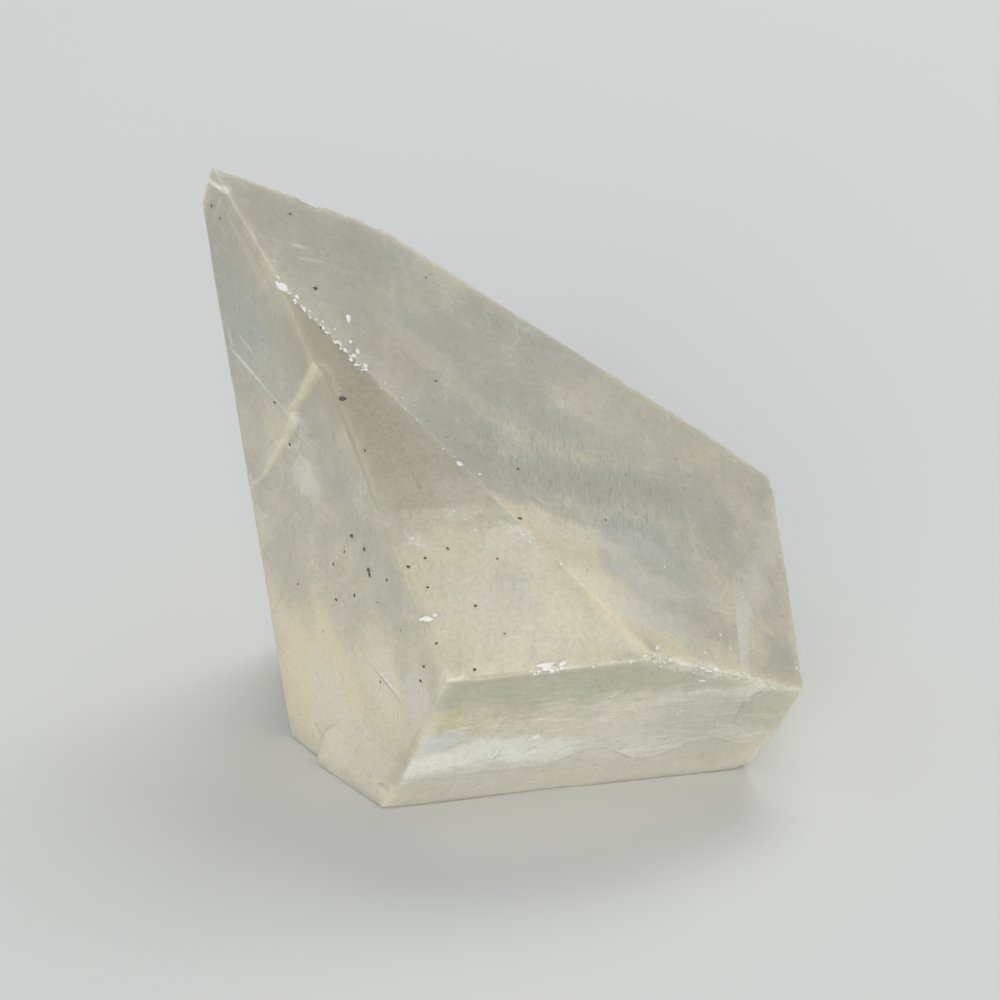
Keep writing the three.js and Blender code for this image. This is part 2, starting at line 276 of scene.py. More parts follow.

# Crushed white crumbs that cling to the bruised edges where they glint, so their white is partly
# crushed calcite and partly a painted glint: face, millimetres right and up, length, width and
# turn from level in degrees.
CRUMBS = [
    ("left", -14.0, 22.4, 1.5, 0.36, -3),
    ("left", -6.2, 18.45, 0.95, 0.55, -38),
    ("upper_right", -7.1, 18.8, 0.4, 0.4, -67),
    ("upper_right", -7.2, 17.6, 0.3, 0.2, -80),
    ("front_triangle", -11.9, 12.1, 0.3, 0.19, -47),
    ("front_triangle", -12.8, 13.3, 0.3, 0.19, -4),
    ("upper_right", -7.1, 16.6, 0.22, 0.2, -85),
    ("upper_right", -6.8, 15.8, 0.3, 0.25, -85),
    ("upper_right", -5.1, 15.8, 1.1, 0.5, 32),
    ("upper_right", -6.7, 14.6, 0.4, 0.45, -93),
    ("upper_right", -6.9, 13.8, 0.6, 0.5, -102),
    ("upper_right", -7.4, 12.8, 0.5, 0.45, -85),
    ("upper_right", -7.3, 11.3, 0.2, 0.22, -85),
    ("upper_right", -7.2, 9.9, 0.2, 0.2, -85),
    ("upper_right", -8.1, 4.6, 0.65, 0.5, -28),
    ("upper_right", -7.5, 3.3, 0.25, 0.22, -28),
    ("upper_right", -8.5, -4.0, 0.45, 0.16, 27),
    ("upper_right", -1.2, -8.4, 0.3, 0.15, 29),
    ("upper_right", -7.2, -9.8, 0.2, 0.18, -30),
    ("upper_right", -3.6, -10.7, 0.2, 0.18, -30),
    ("upper_right", -2.5, -13.7, 0.35, 0.14, -132),
    ("upper_right", -2.8, -14.7, 0.4, 0.2, -132),
    ("upper_right", -5.0, -13.8, 0.35, 0.22, 29),
    ("upper_right", -8.2, -11.6, 1.0, 0.4, 22),
    ("upper_right", -7.9, -12.6, 0.5, 0.25, -43),
    ("upper_right", -4.4, -16.0, 0.3, 0.27, -31),
    ("front_triangle", 5.6, -10.7, 0.4, 0.18, 5),
    ("front_triangle", -1.4, -2.1, 0.2, 0.14, 30),
    ("front_triangle", -0.8, -2.6, 0.3, 0.16, -20),
    ("front_triangle", -0.4, -3.1, 0.22, 0.18, 60),
    ("front_triangle", 0.0, -3.5, 0.2, 0.14, 10),
    ("front_triangle", -1.2, -3.2, 0.16, 0.14, 80),
    ("front_triangle", -0.6, -2.2, 0.18, 0.12, 0),
    ("front_triangle", -7.4, -2.3, 0.24, 0.16, 70),
    ("front_triangle", -7.1, -2.7, 0.2, 0.14, 20),
    ("front_triangle", -4.7, -0.8, 0.2, 0.12, 40),
    ("front_triangle", -4.1, -1.4, 0.18, 0.12, -10),
    ("front_triangle", -5.0, -1.1, 0.14, 0.12, 0),
    ("front_triangle", -3.6, -2.1, 0.16, 0.12, 50),
    ("front_triangle", -7.3, -7.3, 0.9, 0.42, 5),
    ("front_triangle", -6.7, -7.1, 0.45, 0.3, 40),
    ("front_triangle", -0.5, -10.9, 1.5, 0.5, 4),
    ("front_triangle", 0.5, -10.85, 0.6, 0.35, 30),
    ("front_cleavage", 5.6, 7.3, 0.4, 0.3, 26),
    ("front_cleavage", 8.9, 5.9, 0.8, 0.3, -24),
    ("front_cleavage", 9.5, 5.5, 0.5, 0.25, -30),
    ("front_cleavage", 8.9, 4.8, 0.6, 0.2, -5),
    ("right_shoulder", -4.7, -15.7, 0.3, 0.18, -31),
    ("right_shoulder", -3.4, -16.7, 0.22, 0.18, -31),
    ("right_shoulder", -2.9, -16.9, 0.2, 0.22, -31),
    ("right_shoulder", -0.2, -18.1, 0.5, 0.25, -134),
]

# Rows of crushed grit along the bruised edges, white like the crumbs and so partly painted
# glints: edge, from, to (0 to 1), how many, their size, and how far they stray to either side.
GRIT = [
    ("main_ridge", 0.02, 0.24, 46, 0.22, 0.07),
    ("main_ridge", 0.15, 0.235, 16, 0.28, 0.15),
    ("main_ridge", 0.24, 0.5, 12, 0.12, 0.1),
    ("apex_ridge", 0.9, 1.0, 5, 0.2, 0.1),
    ("flake_edge", 0.0, 0.2, 10, 0.2, 0.25),
    ("flake_edge", 0.2, 1.0, 20, 0.18, 0.3),
    ("shoulder_edge", 0.0, 1.0, 12, 0.17, 0.3),
    ("front_edge", 0.4, 0.56, 12, 0.24, 0.12),
    ("front_edge", 0.6, 1.0, 8, 0.12, 0.06),
]

# Dark mineral grains grown into each face: millimetres right and up, and size.
GRAINS = {
    "front_triangle": [
        (-10.6, 6.8, 0.34), (-7.9, -4.1, 0.22), (-6.8, -3.6, 0.13), (-5.4, -3.1, 0.25),
        (-6.9, -5.4, 0.2), (-4.2, -6.8, 0.16), (-2.7, -8.6, 0.16), (-6.8, -8.9, 0.2),
        (-4.7, -10.7, 0.2), (-11.3, 11.4, 0.14), (-2.5, -4.0, 0.14), (-9.6, 3.4, 0.13),
    ],
    "left": [
        (1.7, 4.7, 0.26), (3.2, 4.4, 0.24), (3.8, 3.3, 0.32), (3.9, 3.0, 0.26), (5.8, 3.5, 0.26),
        (-0.2, 2.1, 0.2), (-4.5, -1.0, 0.16), (0.1, -0.2, 0.24), (2.2, 1.0, 0.22),
        (10.0, -0.5, 0.28), (9.7, -1.6, 0.24), (5.2, -3.6, 0.22), (-7.1, 10.3, 0.2),
        (-5.9, 7.9, 0.18), (-8.5, 14.0, 0.16), (-14.6, 20.9, 0.24), (-13.5, 20.4, 0.18),
        (1.0, 3.4, 0.14), (4.8, 1.6, 0.14), (-1.5, -3.0, 0.12), (7.4, 0.8, 0.14),
    ],
    "upper_right": [
        (-5.0, 18.6, 0.26), (-8.0, -0.3, 0.24), (-4.3, 2.1, 0.16), (-1.9, -3.8, 0.18),
        (-3.5, 9.5, 0.16), (4.2, 15.2, 0.14), (-1.0, 23.5, 0.18), (-7.0, 6.4, 0.13),
    ],
}
HIDDEN_FACES = ["far_left", "back", "back_right", "right_cleavage"]
HIDDEN_SIZES = (0.12, 0.26)  # the least and greatest size of the grains on those faces


# ------------------------------------------------------------ arithmetic on whole arrays of points

def face_frames():
    """Each face's own axes, one row a face: across is level and points right as seen from outside,
    slope points up the face, and outward is the direction that the face looks towards."""
    bearing, rise = np.radians(np.array([FACES[name][:2] for name in NAMES])).T
    level = np.zeros_like(bearing)
    outward = np.stack(
        [np.cos(rise) * np.cos(bearing), np.cos(rise) * np.sin(bearing), np.sin(rise)], axis=1
    )
    across = np.stack([-np.sin(bearing), np.cos(bearing), level], axis=1)
    return across, np.cross(outward, across), outward


ACROSS, SLOPE, OUTWARD = face_frames()
REACH = np.array([FACES[name][2] for name in NAMES])


def rows_of(table):
    """A table's rows, each with the name that it is listed under in front."""
    return [(name, *row) for name, rows in table.items() for row in rows]


def on_face(name, x, y):
    """The place of a point that is drawn on a face, in the part's own frame."""
    i = NAMES.index(name)
    return HEART + x * ACROSS[i] + y * SLOPE[i] + REACH[i] * OUTWARD[i]


def unit(vectors):
    """Vectors of length 1 in the same directions."""
    return vectors / np.linalg.norm(vectors, axis=-1, keepdims=True)


def ease(t):
    """0 below 0, 1 above 1, and an S-curve between: 3t^2 - 2t^3."""
    t = np.clip(t, 0.0, 1.0)
    return t * t * (3 - 2 * t)


def speckle(cells, seed):
    """A repeatable random value from 0 to 1 for each cell of whole-number coordinates: the three
    numbers are mixed by multiplying and folding their bits."""
    x, y, z = cells.astype(np.int64).T
    mixed = (x * 73856093) ^ (y * 19349663) ^ (z * 83492791) ^ (seed * 2654435761)
    mixed = ((mixed ^ (mixed >> 13)) * 1274126177) & 0xFFFFFFFF
    mixed = ((mixed ^ (mixed >> 16)) * 2246822519) & 0xFFFFFFFF
    return ((mixed ^ (mixed >> 15)) & 0xFFFFFF) / 0xFFFFFF


def waver(points, size, seed=0):
    """Smooth random values from -1 to 1: a random value at every corner of a lattice of cubes of
    that size, eased between the eight corners round each point."""
    scaled = points / size
    cell = np.floor(scaled)
    values = [speckle(cell + corner, seed) for corner in itertools.product((0, 1), repeat=3)]
    for part in ease(scaled - cell).T:
        half = len(values) // 2
        values = [low + part * (high - low) for low, high in zip(values[:half], values[half:])]
    return 2 * values[0] - 1


def turned_axes(angle):
    """Two level axes turned by an angle in degrees, as columns."""
    turn = math.radians(angle)
    return np.array([[math.cos(turn), -math.sin(turn)], [math.sin(turn), math.cos(turn)]])


def to_outline(xy, outline):
    """The distance from a closed outline to each point, counted as positive inside: each straight
    side gives its own nearest point, and a point is inside when a level line from it crosses the
    sides an odd number of times."""
    starts = np.array(outline, float)
    nearest = np.full(len(xy), np.inf)
    inside = np.zeros(len(xy), bool)
    for start, side in zip(starts, np.roll(starts, -1, axis=0) - starts):
        along = np.clip((xy - start) @ side / (side @ side), 0, 1)
        offset = xy - start - along[:, None] * side
        nearest = np.minimum(nearest, (offset**2).sum(axis=1))
        if side[1]:
            beside = (start[1] > xy[:, 1]) != (start[1] + side[1] > xy[:, 1])
            crossing = start[0] + side[0] * (xy[:, 1] - start[1]) / side[1]
            inside ^= beside & (xy[:, 0] < crossing)
    return np.sqrt(nearest) * np.where(inside, 1, -1)


def wandering(xy, seed, size=STEP_WAVER):
    """The points of a face shifted a little by two sizes of smooth random values, 1.7 and 0.5 mm,
    so that straight outlines read in these coordinates wander like real ones."""
    flat = np.column_stack([xy, np.full(len(xy), 7.3 * seed)])
    shift = np.stack([waver(flat, 1.7, seed), waver(flat, 1.7, seed + 50)], axis=1)
    fine = np.stack([waver(flat, 0.5, seed + 9), waver(flat, 0.5, seed + 59)], axis=1)
    return xy + size * (shift + 0.4 * fine)


# ------------------------------------------------------------ the plain form

def corner_table():
    """The corners of the plain form, and which faces meet at each: every three planes meet in one
    point, which is a corner if no other plane cuts it off."""
    corners, meeting = [], []
    for three in itertools.combinations(range(len(NAMES)), 3):
        planes = OUTWARD[list(three)]
        if abs(np.linalg.det(planes)) < 1e-6:
            continue
        point = np.linalg.solve(planes, REACH[list(three)])
        if np.all(OUTWARD @ point <= REACH + 1e-7):
            corners.append(HEART + point)
            meeting.append(three)
    return np.array(corners), meeting


def face_corners(face, corners, meeting):
    """The numbers of a face's corners, in order round it, counter-clockwise from outside."""
    mine = [k for k, three in enumerate(meeting) if face in three]
    middle = corners[mine].mean(axis=0)
    spoke = corners[mine] - middle
    angle = np.arctan2(spoke @ SLOPE[face], spoke @ ACROSS[face])
    return [mine[k] for k in np.argsort(angle)]


CROWDING = 1.3  # above 1, the cells of a patch are smaller near the crystal's edges


def plain_patches():
    """The flat face patches: the places and names of their four corners, and their cells each way.
    Each face is split into four-sided patches, one for each of its corners: corner, middle of the
    next edge, middle of the face, middle of the last edge."""
    corners, meeting = corner_table()
    patches = []
    for face, name in enumerate(NAMES):
        ring = face_corners(face, corners, meeting)
        centre = corners[ring].mean(axis=0)
        for k, corner in enumerate(ring):
            after, before = ring[(k + 1) % len(ring)], ring[k - 1]
            ids = (
                ("corner", corner),
                ("middle", min(corner, after), max(corner, after)),
                ("centre", face),
                ("middle", min(corner, before), max(corner, before)),
            )
            a, c = corners[corner], centre
            b, d = (a + corners[after]) / 2, (a + corners[before]) / 2
            long = (np.linalg.norm(b - a) + np.linalg.norm(c - d)) / 2
            wide = (np.linalg.norm(d - a) + np.linalg.norm(c - b)) / 2
            cells = [max(2, round(length / FACES[name][3])) for length in (long, wide)]
            patches.append((ids, (a, b, c, d), cells))
    return patches


def patch_grid(points, cells, borders):
    """A patch's points: with s and t from 0 to 1, raised to the crowding power, the point is
    (1-s)(1-t) of the corner, s(1-t) of the first middle, st of the centre and (1-s)t of the last.
    Where the neighbour has fewer cells, s and t on that border are rounded to the neighbour's."""
    s, t = np.meshgrid(
        np.arange(cells[0] + 1) / cells[0], np.arange(cells[1] + 1) / cells[1], indexing="ij"
    )
    first, far, left, right = borders
    s[:, 0] = np.floor(s[:, 0] * first + 0.5) / first
    s[:, -1] = np.floor(s[:, -1] * far + 0.5) / far
    t[0, :] = np.floor(t[0, :] * left + 0.5) / left
    t[-1, :] = np.floor(t[-1, :] * right + 0.5) / right
    s, t = s[..., None] ** CROWDING, t[..., None] ** CROWDING
    a, b, c, d = points
    return (1 - s) * (1 - t) * a + s * (1 - t) * b + s * t * c + (1 - s) * t * d


PLACES_PER_MM = 1e5  # points this finely apart, or closer, are the same point


def plain_crystal():
    """The plain form as one closed mesh: every patch's grid of four-sided cells, with the points
    that fall on the same place made one."""
    patches = plain_patches()
    fewest = {}
    for (a, b, c, d), _, (long, wide) in patches:
        for side, count in (((a, b), long), ((d, c), long), ((a, d), wide), ((b, c), wide)):
            fewest[side] = min(fewest.get(side, count), count)
    clouds, quads, offset = [], [], 0
    for (a, b, c, d), points, cells in patches:
        borders = (fewest[a, b], fewest[d, c], fewest[a, d], fewest[b, c])
        grid = patch_grid(points, cells, borders)
        index = np.arange(grid.shape[0] * grid.shape[1]).reshape(grid.shape[:2]) + offset
        ring = [index[:-1, :-1], index[1:, :-1], index[1:, 1:], index[:-1, 1:]]
        quads.append(np.stack(ring, axis=-1).reshape(-1, 4))
        clouds.append(grid.reshape(-1, 3))
        offset += len(clouds[-1])
    cloud = np.concatenate(clouds)
    rounded = np.round(cloud * PLACES_PER_MM).astype(np.int64)
    _, first, merged = np.unique(rounded, axis=0, return_index=True, return_inverse=True)
    return cloud[first], merged.reshape(-1)[np.concatenate(quads)]


def triangles_of(points, quads):
    """Each four-sided cell as two triangles, split along its shorter diagonal, without those that
    have closed up."""
    a, b, c, d = quads.T
    first = np.linalg.norm(points[a] - points[c], axis=1)
    second = np.linalg.norm(points[b] - points[d], axis=1)
    closed = (a == b) | (b == c) | (c == d) | (d == a)
    split = ((first <= second) | closed)[:, None]
    one = np.where(split, np.stack([a, b, c], axis=1), np.stack([a, b, d], axis=1))
    two = np.where(split, np.stack([a, c, d], axis=1), np.stack([b, c, d], axis=1))
    both = np.concatenate([one, two])
    p, q, r = both.T
    return both[(p != q) & (q != r) & (r != p)]


# ------------------------------------------------------------ relief and wear

def heights_over(points):
    """How far each point stands outside each flat face (minus: inside)."""
    return (points - HEART) @ OUTWARD.T - REACH


def drawn(points, face):
    """Where points lie on a face, as seen from outside."""
    return np.stack([(points - HEART) @ ACROSS[face], (points - HEART) @ SLOPE[face]], axis=1)


# The groove mark is painted shade in the nicks and on the risers of steps that are not milky.
MARKS = ["riser", "groove", "layer"]  # what the relief tells the material


def step_relief(xy, step, seed):
    """The depth of one step, how much of its riser each point is on, and whether the point is
    inside. Inside the outline, with t from 0 to 1 across the riser, the depth is 1 - (1 - t)^2 of
    the share that the fade leaves: a crisp lip above and a soft foot below. The riser counts for
    1 - t."""
    along = (xy - step["outline"][0]) @ np.array(step.get("fade_towards", (1, 0)))
    kept = np.clip(1 - along / step.get("fade", math.inf), FADE_LEAST, FADE_MOST)
    depth = step["depth"] * kept
    distance = to_outline(wandering(xy, seed), step["outline"])
    t = np.clip(distance / (step["run"] * np.abs(depth)), 0, 1)
    inside = ease(distance / MARK_BLUR + 0.5)
    return depth * (1 - (1 - t) ** 2), (1 - t) * inside, inside


def terrace_relief(xy, terrace, seed):
    """The depth of fine terraces: along the direction across their lines, the depth grows evenly
    over each tread and drops back over the rest of the spacing, where smooth random values leave
    the terraces standing."""
    _, turn, spacing, rise = terrace
    across = (wandering(xy, seed, TERRACE_WAVER) @ turned_axes(turn))[:, 1] / spacing
    part = across - np.floor(across)
    saw = np.minimum(part / TREAD, (1 - part) / (1 - TREAD))
    flat = np.column_stack([xy, np.full(len(xy), 3.1 * seed)])
    return rise * saw * ease(0.45 + 1.1 * waver(flat, 2.8, seed))


def nick_relief(xy, nick):
    """The depth of a half-moon nick, and the share of painted shade on it. In its own turned
    coordinates, in half-lengths u and widths v, it lies inside the circle u^2 + v^2 = 1: a steep
    wall round the upper side, which carries the painted shade, and a floor that rises evenly to
    nothing on the lower side."""
    x, y, length, width, turn, depth = nick
    u, v = ((wandering(xy, 3, NICK_WAVER) - (x, y)) @ turned_axes(turn) / (length / 2, width)).T
    inside = 1 - u**2 - v**2
    groove = min(1, depth / DEEP_NICK) * ease(inside * 3) * ease(v + 0.4)
    return depth * np.clip(v + 0.3, 0, 1) * ease(inside / 0.45), groove


def relief(points, face, settings):
    """How far a face's real surface lies over its plane at each point: low swells 6.5 mm across and
    growth hillocks of 2.6 and 0.9 mm, less the steps, terraces and nicks. With it the marks: the
    shares of milky riser, of painted shade in the grooves and of the other layer under a step."""
    name = NAMES[face]
    xy = drawn(points, face)
    swell = settings.swell / MM
    height = swell * (waver(points, 6.5, face) + 0.45 * waver(points, 2.6, face + 20))
    height += 0.16 * swell * waver(points, 0.9, face + 40)
    marks = np.zeros((len(points), len(MARKS)))
    for number, step in enumerate(STEPS):
        if step["face"] == name:
            depth, on_riser, inside = step_relief(xy, step, number)
            height -= depth
            # A step that is not milky gets painted shade on its riser.
            kind = MARKS.index("riser" if "milky" in step else "groove")
            marks[:, kind] = np.maximum(marks[:, kind], on_riser)
            if "layer" in step:
                marks[:, MARKS.index("layer")] = inside
    for number, terrace in enumerate(TERRACES):
        if terrace[0] == name:
            height -= terrace_relief(xy, terrace, number)
    for nick in NICKS.get(name, ()):
        # Each nick's wall gets painted shade.
        depth, groove = nick_relief(xy, nick)
        height -= depth
        kind = MARKS.index("groove")
        marks[:, kind] = np.maximum(marks[:, kind], groove)
    return height, marks


RELIEF_REACH = 2.0  # a face's relief matters to points that lie no further inside it than this


def surface_heights(points, settings):
    """How far each point stands outside each face's real surface, with the relief included where
    the face is near, and the marks of the nearest face."""
    heights = heights_over(points)
    marks = np.zeros((len(points), len(MARKS)))
    nearest = heights.argmax(axis=1)
    for face in range(len(NAMES)):
        near = np.flatnonzero(heights[:, face] > -RELIEF_REACH)
        relief_here, marks_here = relief(points[near], face, settings)
        heights[near, face] -= relief_here
        mine = nearest[near] == face
        marks[near[mine]] = marks_here[mine]
    return heights, marks


EDGE_TURN = 0.45  # how near an edge, in millimetres, the way out starts to turn


def ways_out(points):
    """The direction in which each point is moved to the real surface: the face's own in its
    middle, and turning evenly into the neighbour's across an edge."""
    return unit(np.exp(heights_over(points) / EDGE_TURN) @ OUTWARD)


TIP = 2.4  # the wear is stronger within this distance of the apex
TIP_WEAR = 1.0  # how many times the usual wear is added there

# Edges that acid has rounded more than the rest: the rounding at their start and at their end.
SOFT_EDGES = {"corner_edge": (0.16, 0.03), "left_ridge": (0.05, 0.05)}


def softness(points):
    """The extra rounding near the soft edges: full within half a millimetre of the edge's line,
    and gone at 1.8 mm from it."""
    extra = np.zeros(len(points))
    for edge, rounding in SOFT_EDGES.items():
        start, whole, (along, _, _) = edge_axes(edge)
        run = np.clip((points - start) @ along, 0, whole)
        away = np.linalg.norm(points - start - run[:, None] * along, axis=1)
        here = np.interp(run / whole, (0, 1), rounding)
        extra = np.maximum(extra, here * ease(1.4 - away / 1.3))
    return extra


def edge_wear(points, settings):
    """The width of the rounding at each place: the usual wear, varied smoothly from a quarter of
    it to nearly twice as much, and more at the apex."""
    apex = corner_of("left", "upper_right", "tip_break")
    at_tip = ease(1 - np.linalg.norm(points - apex, axis=1) / TIP)
    varied = 1 + 0.5 * waver(points, 3.1, 71) + 0.25 * waver(points, 0.8, 72) + TIP_WEAR * at_tip
    return settings.edge_wear / MM * varied + softness(points)


NEWTON_ROUNDS = 3
LEAST_CLIMB = 0.2  # keeps a point from being thrown far where its way runs along the surface


def worn_surface(points, settings):
    """The real surface. Each point moves along its way out until the smooth maximum of its
    heights over all faces, w log(sum of exp(height / w)) with the wear w, is zero there. Newton's
    method finds the distance in a few rounds."""
    way = ways_out(points)
    wear = edge_wear(points, settings)[:, None]
    moved = points.copy()
    for _ in range(NEWTON_ROUNDS):
        heights, marks = surface_heights(moved, settings)
        share = np.exp((heights - heights.max(axis=1)[:, None]) / wear)
        total = share.sum(axis=1)
        smooth = heights.max(axis=1) + wear[:, 0] * np.log(total)
        climb = ((share / total[:, None]) * (way @ OUTWARD.T)).sum(axis=1)
        moved -= (smooth / np.maximum(climb, LEAST_CLIMB))[:, None] * way
    return moved, way, marks


# ------------------------------------------------------------ chips

def corner_of(*three):
    """The corner where three faces meet."""
    rows = [NAMES.index(name) for name in three]
    return HEART + np.linalg.solve(OUTWARD[rows], REACH[rows])


def edge_axes(edge, lean=0.5):
    """An edge's start, its length, and its own axes: along it, across it and outwards, where
    outwards leans from the first face's direction to the second's."""
    one, two, start_face, end_face = EDGES[edge]
    start, end = corner_of(one, two, start_face), corner_of(one, two, end_face)
    along = unit(end - start)
    outward = unit((1 - lean) * OUTWARD[NAMES.index(one)] + lean * OUTWARD[NAMES.index(two)])
    return start, np.linalg.norm(end - start), (along, np.cross(outward, along), outward)


def scoop_away(points, scoop, seed):
    """Strikes a flake off an edge. With u from -1 to 1 along the flake, the surface is cut back to
    a plane that lies depth x (1 - u^2) under the edge, roughened by ripples 0.8 and 0.3 mm long."""
    edge, at, length, depth, lean = scoop
    start, whole, (along, _, outward) = edge_axes(edge, lean)
    u = ((points - start) @ along - at * whole) / (length / 2)
    height = (points - start) @ outward
    near = np.flatnonzero((np.abs(u) < 1) & (height > -2 * depth))
    ripple = 0.5 * waver(points[near], 0.8, seed) + 0.3 * waver(points[near], 0.3, seed + 1)
    over = height[near] - depth * (u[near] ** 2 - 1 + ripple)
    hit = near[over > 0]
    points[hit] -= over[over > 0, None] * outward
    return hit


def splinter(edge, at, size, stretch, twist):
    """A splinter's centre, and the matrix that turns a vector into the splinter's own coordinates,
    in which the splinter is the eight-sided body |x| + |y| + |z| <= 1."""
    start, whole, (along, across, outward) = edge_axes(edge)
    turn = np.array(Matrix.Rotation(twist, 3, "Z") @ Matrix.Rotation(twist, 3, "X"))
    centre = start + along * whole * at + outward * size * STANDOFF
    shape = np.stack([along * stretch, across, outward], axis=1) @ turn * size
    return centre, np.linalg.inv(shape)


OCTANTS = np.array(list(itertools.product((-1, 1), repeat=3)), float)


def splinter_away(points, way, centre, into):
    """Moves the points that lie in a splinter back along their way out, to where that line leaves
    the splinter: of its eight planes sign.p = 1, the first one met going inwards."""
    local = (points - centre) @ into.T
    hit = np.flatnonzero(np.abs(local).sum(axis=1) < 1)
    heading = way[hit] @ into.T @ OCTANTS.T
    room = 1 - local[hit] @ OCTANTS.T
    back = np.where(heading < -1e-9, room / np.minimum(heading, -1e-9), -np.inf).max(axis=1)
    points[hit] += back[:, None] * way[hit]
    return hit


def chip(points, way):
    """Strikes the flakes, splinters and nibbles off a surface, and gives 1 where it is broken. A
    nibble is half to one and a half times its row's size, up to 2.6 times as long as it is wide,
    and turned at random."""
    fresh = np.zeros(len(points))
    for number, scoop in enumerate(rows_of(SCOOPS)):
        fresh[scoop_away(points, scoop, number)] = 1.0
    for number, (edge, at, size, stretch) in enumerate(SPLINTERS):
        shape = splinter(edge, at, size, stretch, number * TWIST)
        fresh[splinter_away(points, way, *shape)] = 1.0
    luck = np.random.default_rng(7)
    for edge, start, end, count, size in NIBBLES:
        for at, scale, stretch, twist in luck.random((count, 4)):
            place = start + (end - start) * at
            shape = splinter(edge, place, size * (0.5 + scale), 1 + 1.6 * stretch, 6.3 * twist)
            fresh[splinter_away(points, way, *shape)] = 1.0
    return fresh


def real_surface(points, settings):
    """Points of the plain form carried to the worn and chipped surface, above the ground, with
    their ways out, their marks, and the fresh breaks."""
    worn, way, marks = worn_surface(points, settings)
    fresh = chip(worn, way)
    worn[:, 2] = np.maximum(worn[:, 2], 0.0)
    return worn, way, marks, fresh


def crystal_surface(settings):
    """The whole crystal's points and triangles, and what its material reads at each point."""
    points, quads = plain_crystal()
    worn, _, marks, fresh = real_surface(points, settings)
    attributes = {"fresh_break": fresh, **dict(zip(MARKS, marks.T * (1 - fresh)))}
    return worn, triangles_of(worn, quads), attributes


# ------------------------------------------------------------ crumbs and grains

RINGS, SPOKES = 5, 8  # each lump is a ball of this many rings of points between its two poles


def ball_grid():
    """A unit ball's points, pole to pole, and its triangles, all facing outwards."""
    tilt = np.pi * np.arange(1, RINGS + 1) / (RINGS + 1)
    turn = 2 * np.pi * np.arange(SPOKES) / SPOKES
    ring = np.stack(
        [
            np.sin(tilt)[:, None] * np.cos(turn),
            np.sin(tilt)[:, None] * np.sin(turn),
            np.cos(tilt)[:, None] * np.ones(SPOKES),
        ],
        axis=-1,
    ).reshape(-1, 3)
    points = np.concatenate([[(0, 0, 1)], ring, [(0, 0, -1)]])
    index = np.arange(RINGS * SPOKES).reshape(RINGS, SPOKES) + 1
    a, b = index[:-1], index[1:]
    c, d = np.roll(b, -1, axis=1), np.roll(a, -1, axis=1)
    top, bottom = index[0], index[-1]
    poles = [
        np.stack([np.zeros_like(top), top, np.roll(top, -1)], axis=-1),
        np.stack([np.full_like(bottom, len(points) - 1), np.roll(bottom, -1), bottom], axis=-1),
    ]
    sides = [np.stack([a, b, c], axis=-1), np.stack([a, c, d], axis=-1)]
    return points, np.concatenate([part.reshape(-1, 3) for part in poles + sides])


SUNK = 0.25  # how far a lump's middle lies under the surface, as a share of its height
LUMP_PLANES = 11  # the random planes that cut each lump's ball
LUMP_REACH = (0.58, 0.95)  # how far from the ball's middle they lie, as a share of its radius
LUMP_MOST = 1.2  # the radius where no plane cuts it
GRAZING = 0.05  # planes more nearly parallel to a direction than this don't cut it


def lumps(places, sizes, turns, settings, seed):
    """Small angular lumps set into the surface, as one mesh. Each is a ball whose radius in a
    direction d is the least of reach / (d.n) over its random planes n, stretched to the lump's
    length, width and height, turned, and sunk a little."""
    luck = np.random.default_rng(seed)
    ball, faces = ball_grid()
    planes = unit(luck.normal(size=(len(places), LUMP_PLANES, 3)))
    reach = luck.uniform(*LUMP_REACH, (len(places), LUMP_PLANES))
    towards = np.einsum("lpk,bk->lbp", planes, ball)
    cut = reach[:, None] / np.maximum(towards, GRAZING)
    radius = np.where(towards > GRAZING, cut, LUMP_MOST).min(axis=2)
    local = ball * radius[..., None] * sizes[:, None] / 2
    middle, way, _, _ = real_surface(places, settings)
    # A level face has no level direction of its own: the added sliver gives it +X.
    level = unit(np.cross(np.array([0.0, 0.0, 1.0]), way) + np.array([1e-6, 0.0, 0.0]))
    up = np.cross(way, level)
    cos, sin = np.cos(np.radians(turns))[:, None], np.sin(np.radians(turns))[:, None]
    axes = np.stack([cos * level + sin * up, cos * up - sin * level, way], axis=1)
    points = np.einsum("lbk,lkj->lbj", local, axes)
    points += (middle - SUNK * sizes[:, 2:] * way)[:, None]
    offset = len(ball) * np.arange(len(places))[:, None, None]
    return points.reshape(-1, 3), (faces + offset).reshape(-1, 3)


SCATTER_REACH = 26  # no face reaches further than this from the point nearest to the heart
SCATTER_TRIES = 400  # for each grain, because most tries fall beside the face
SCATTER_MARGIN = 0.6  # how far in from the face's edges the grains stay
SCATTER_PATCH = 7.0  # across the parts where they gather


def scattered(face_name, count, luck):
    """Random places on a face, some way in from its edges, gathered more thickly in some parts."""
    face = NAMES.index(face_name)
    tries = luck.uniform(-SCATTER_REACH, SCATTER_REACH, (SCATTER_TRIES * count, 2))
    places = HEART + tries[:, :1] * ACROSS[face] + tries[:, 1:] * SLOPE[face]
    places += REACH[face] * OUTWARD[face]
    heights = heights_over(places)
    heights[:, face] = -np.inf
    thickness = waver(places, SCATTER_PATCH, 90 + face)
    gathered = thickness > luck.uniform(-0.6, 1.0, len(places))
    return places[(heights.max(axis=1) < -SCATTER_MARGIN) & gathered][:count]


CRUMB_HEIGHT, GRAIN_HEIGHT = 0.5, 0.6  # as shares of a crumb's width and of a grain's length


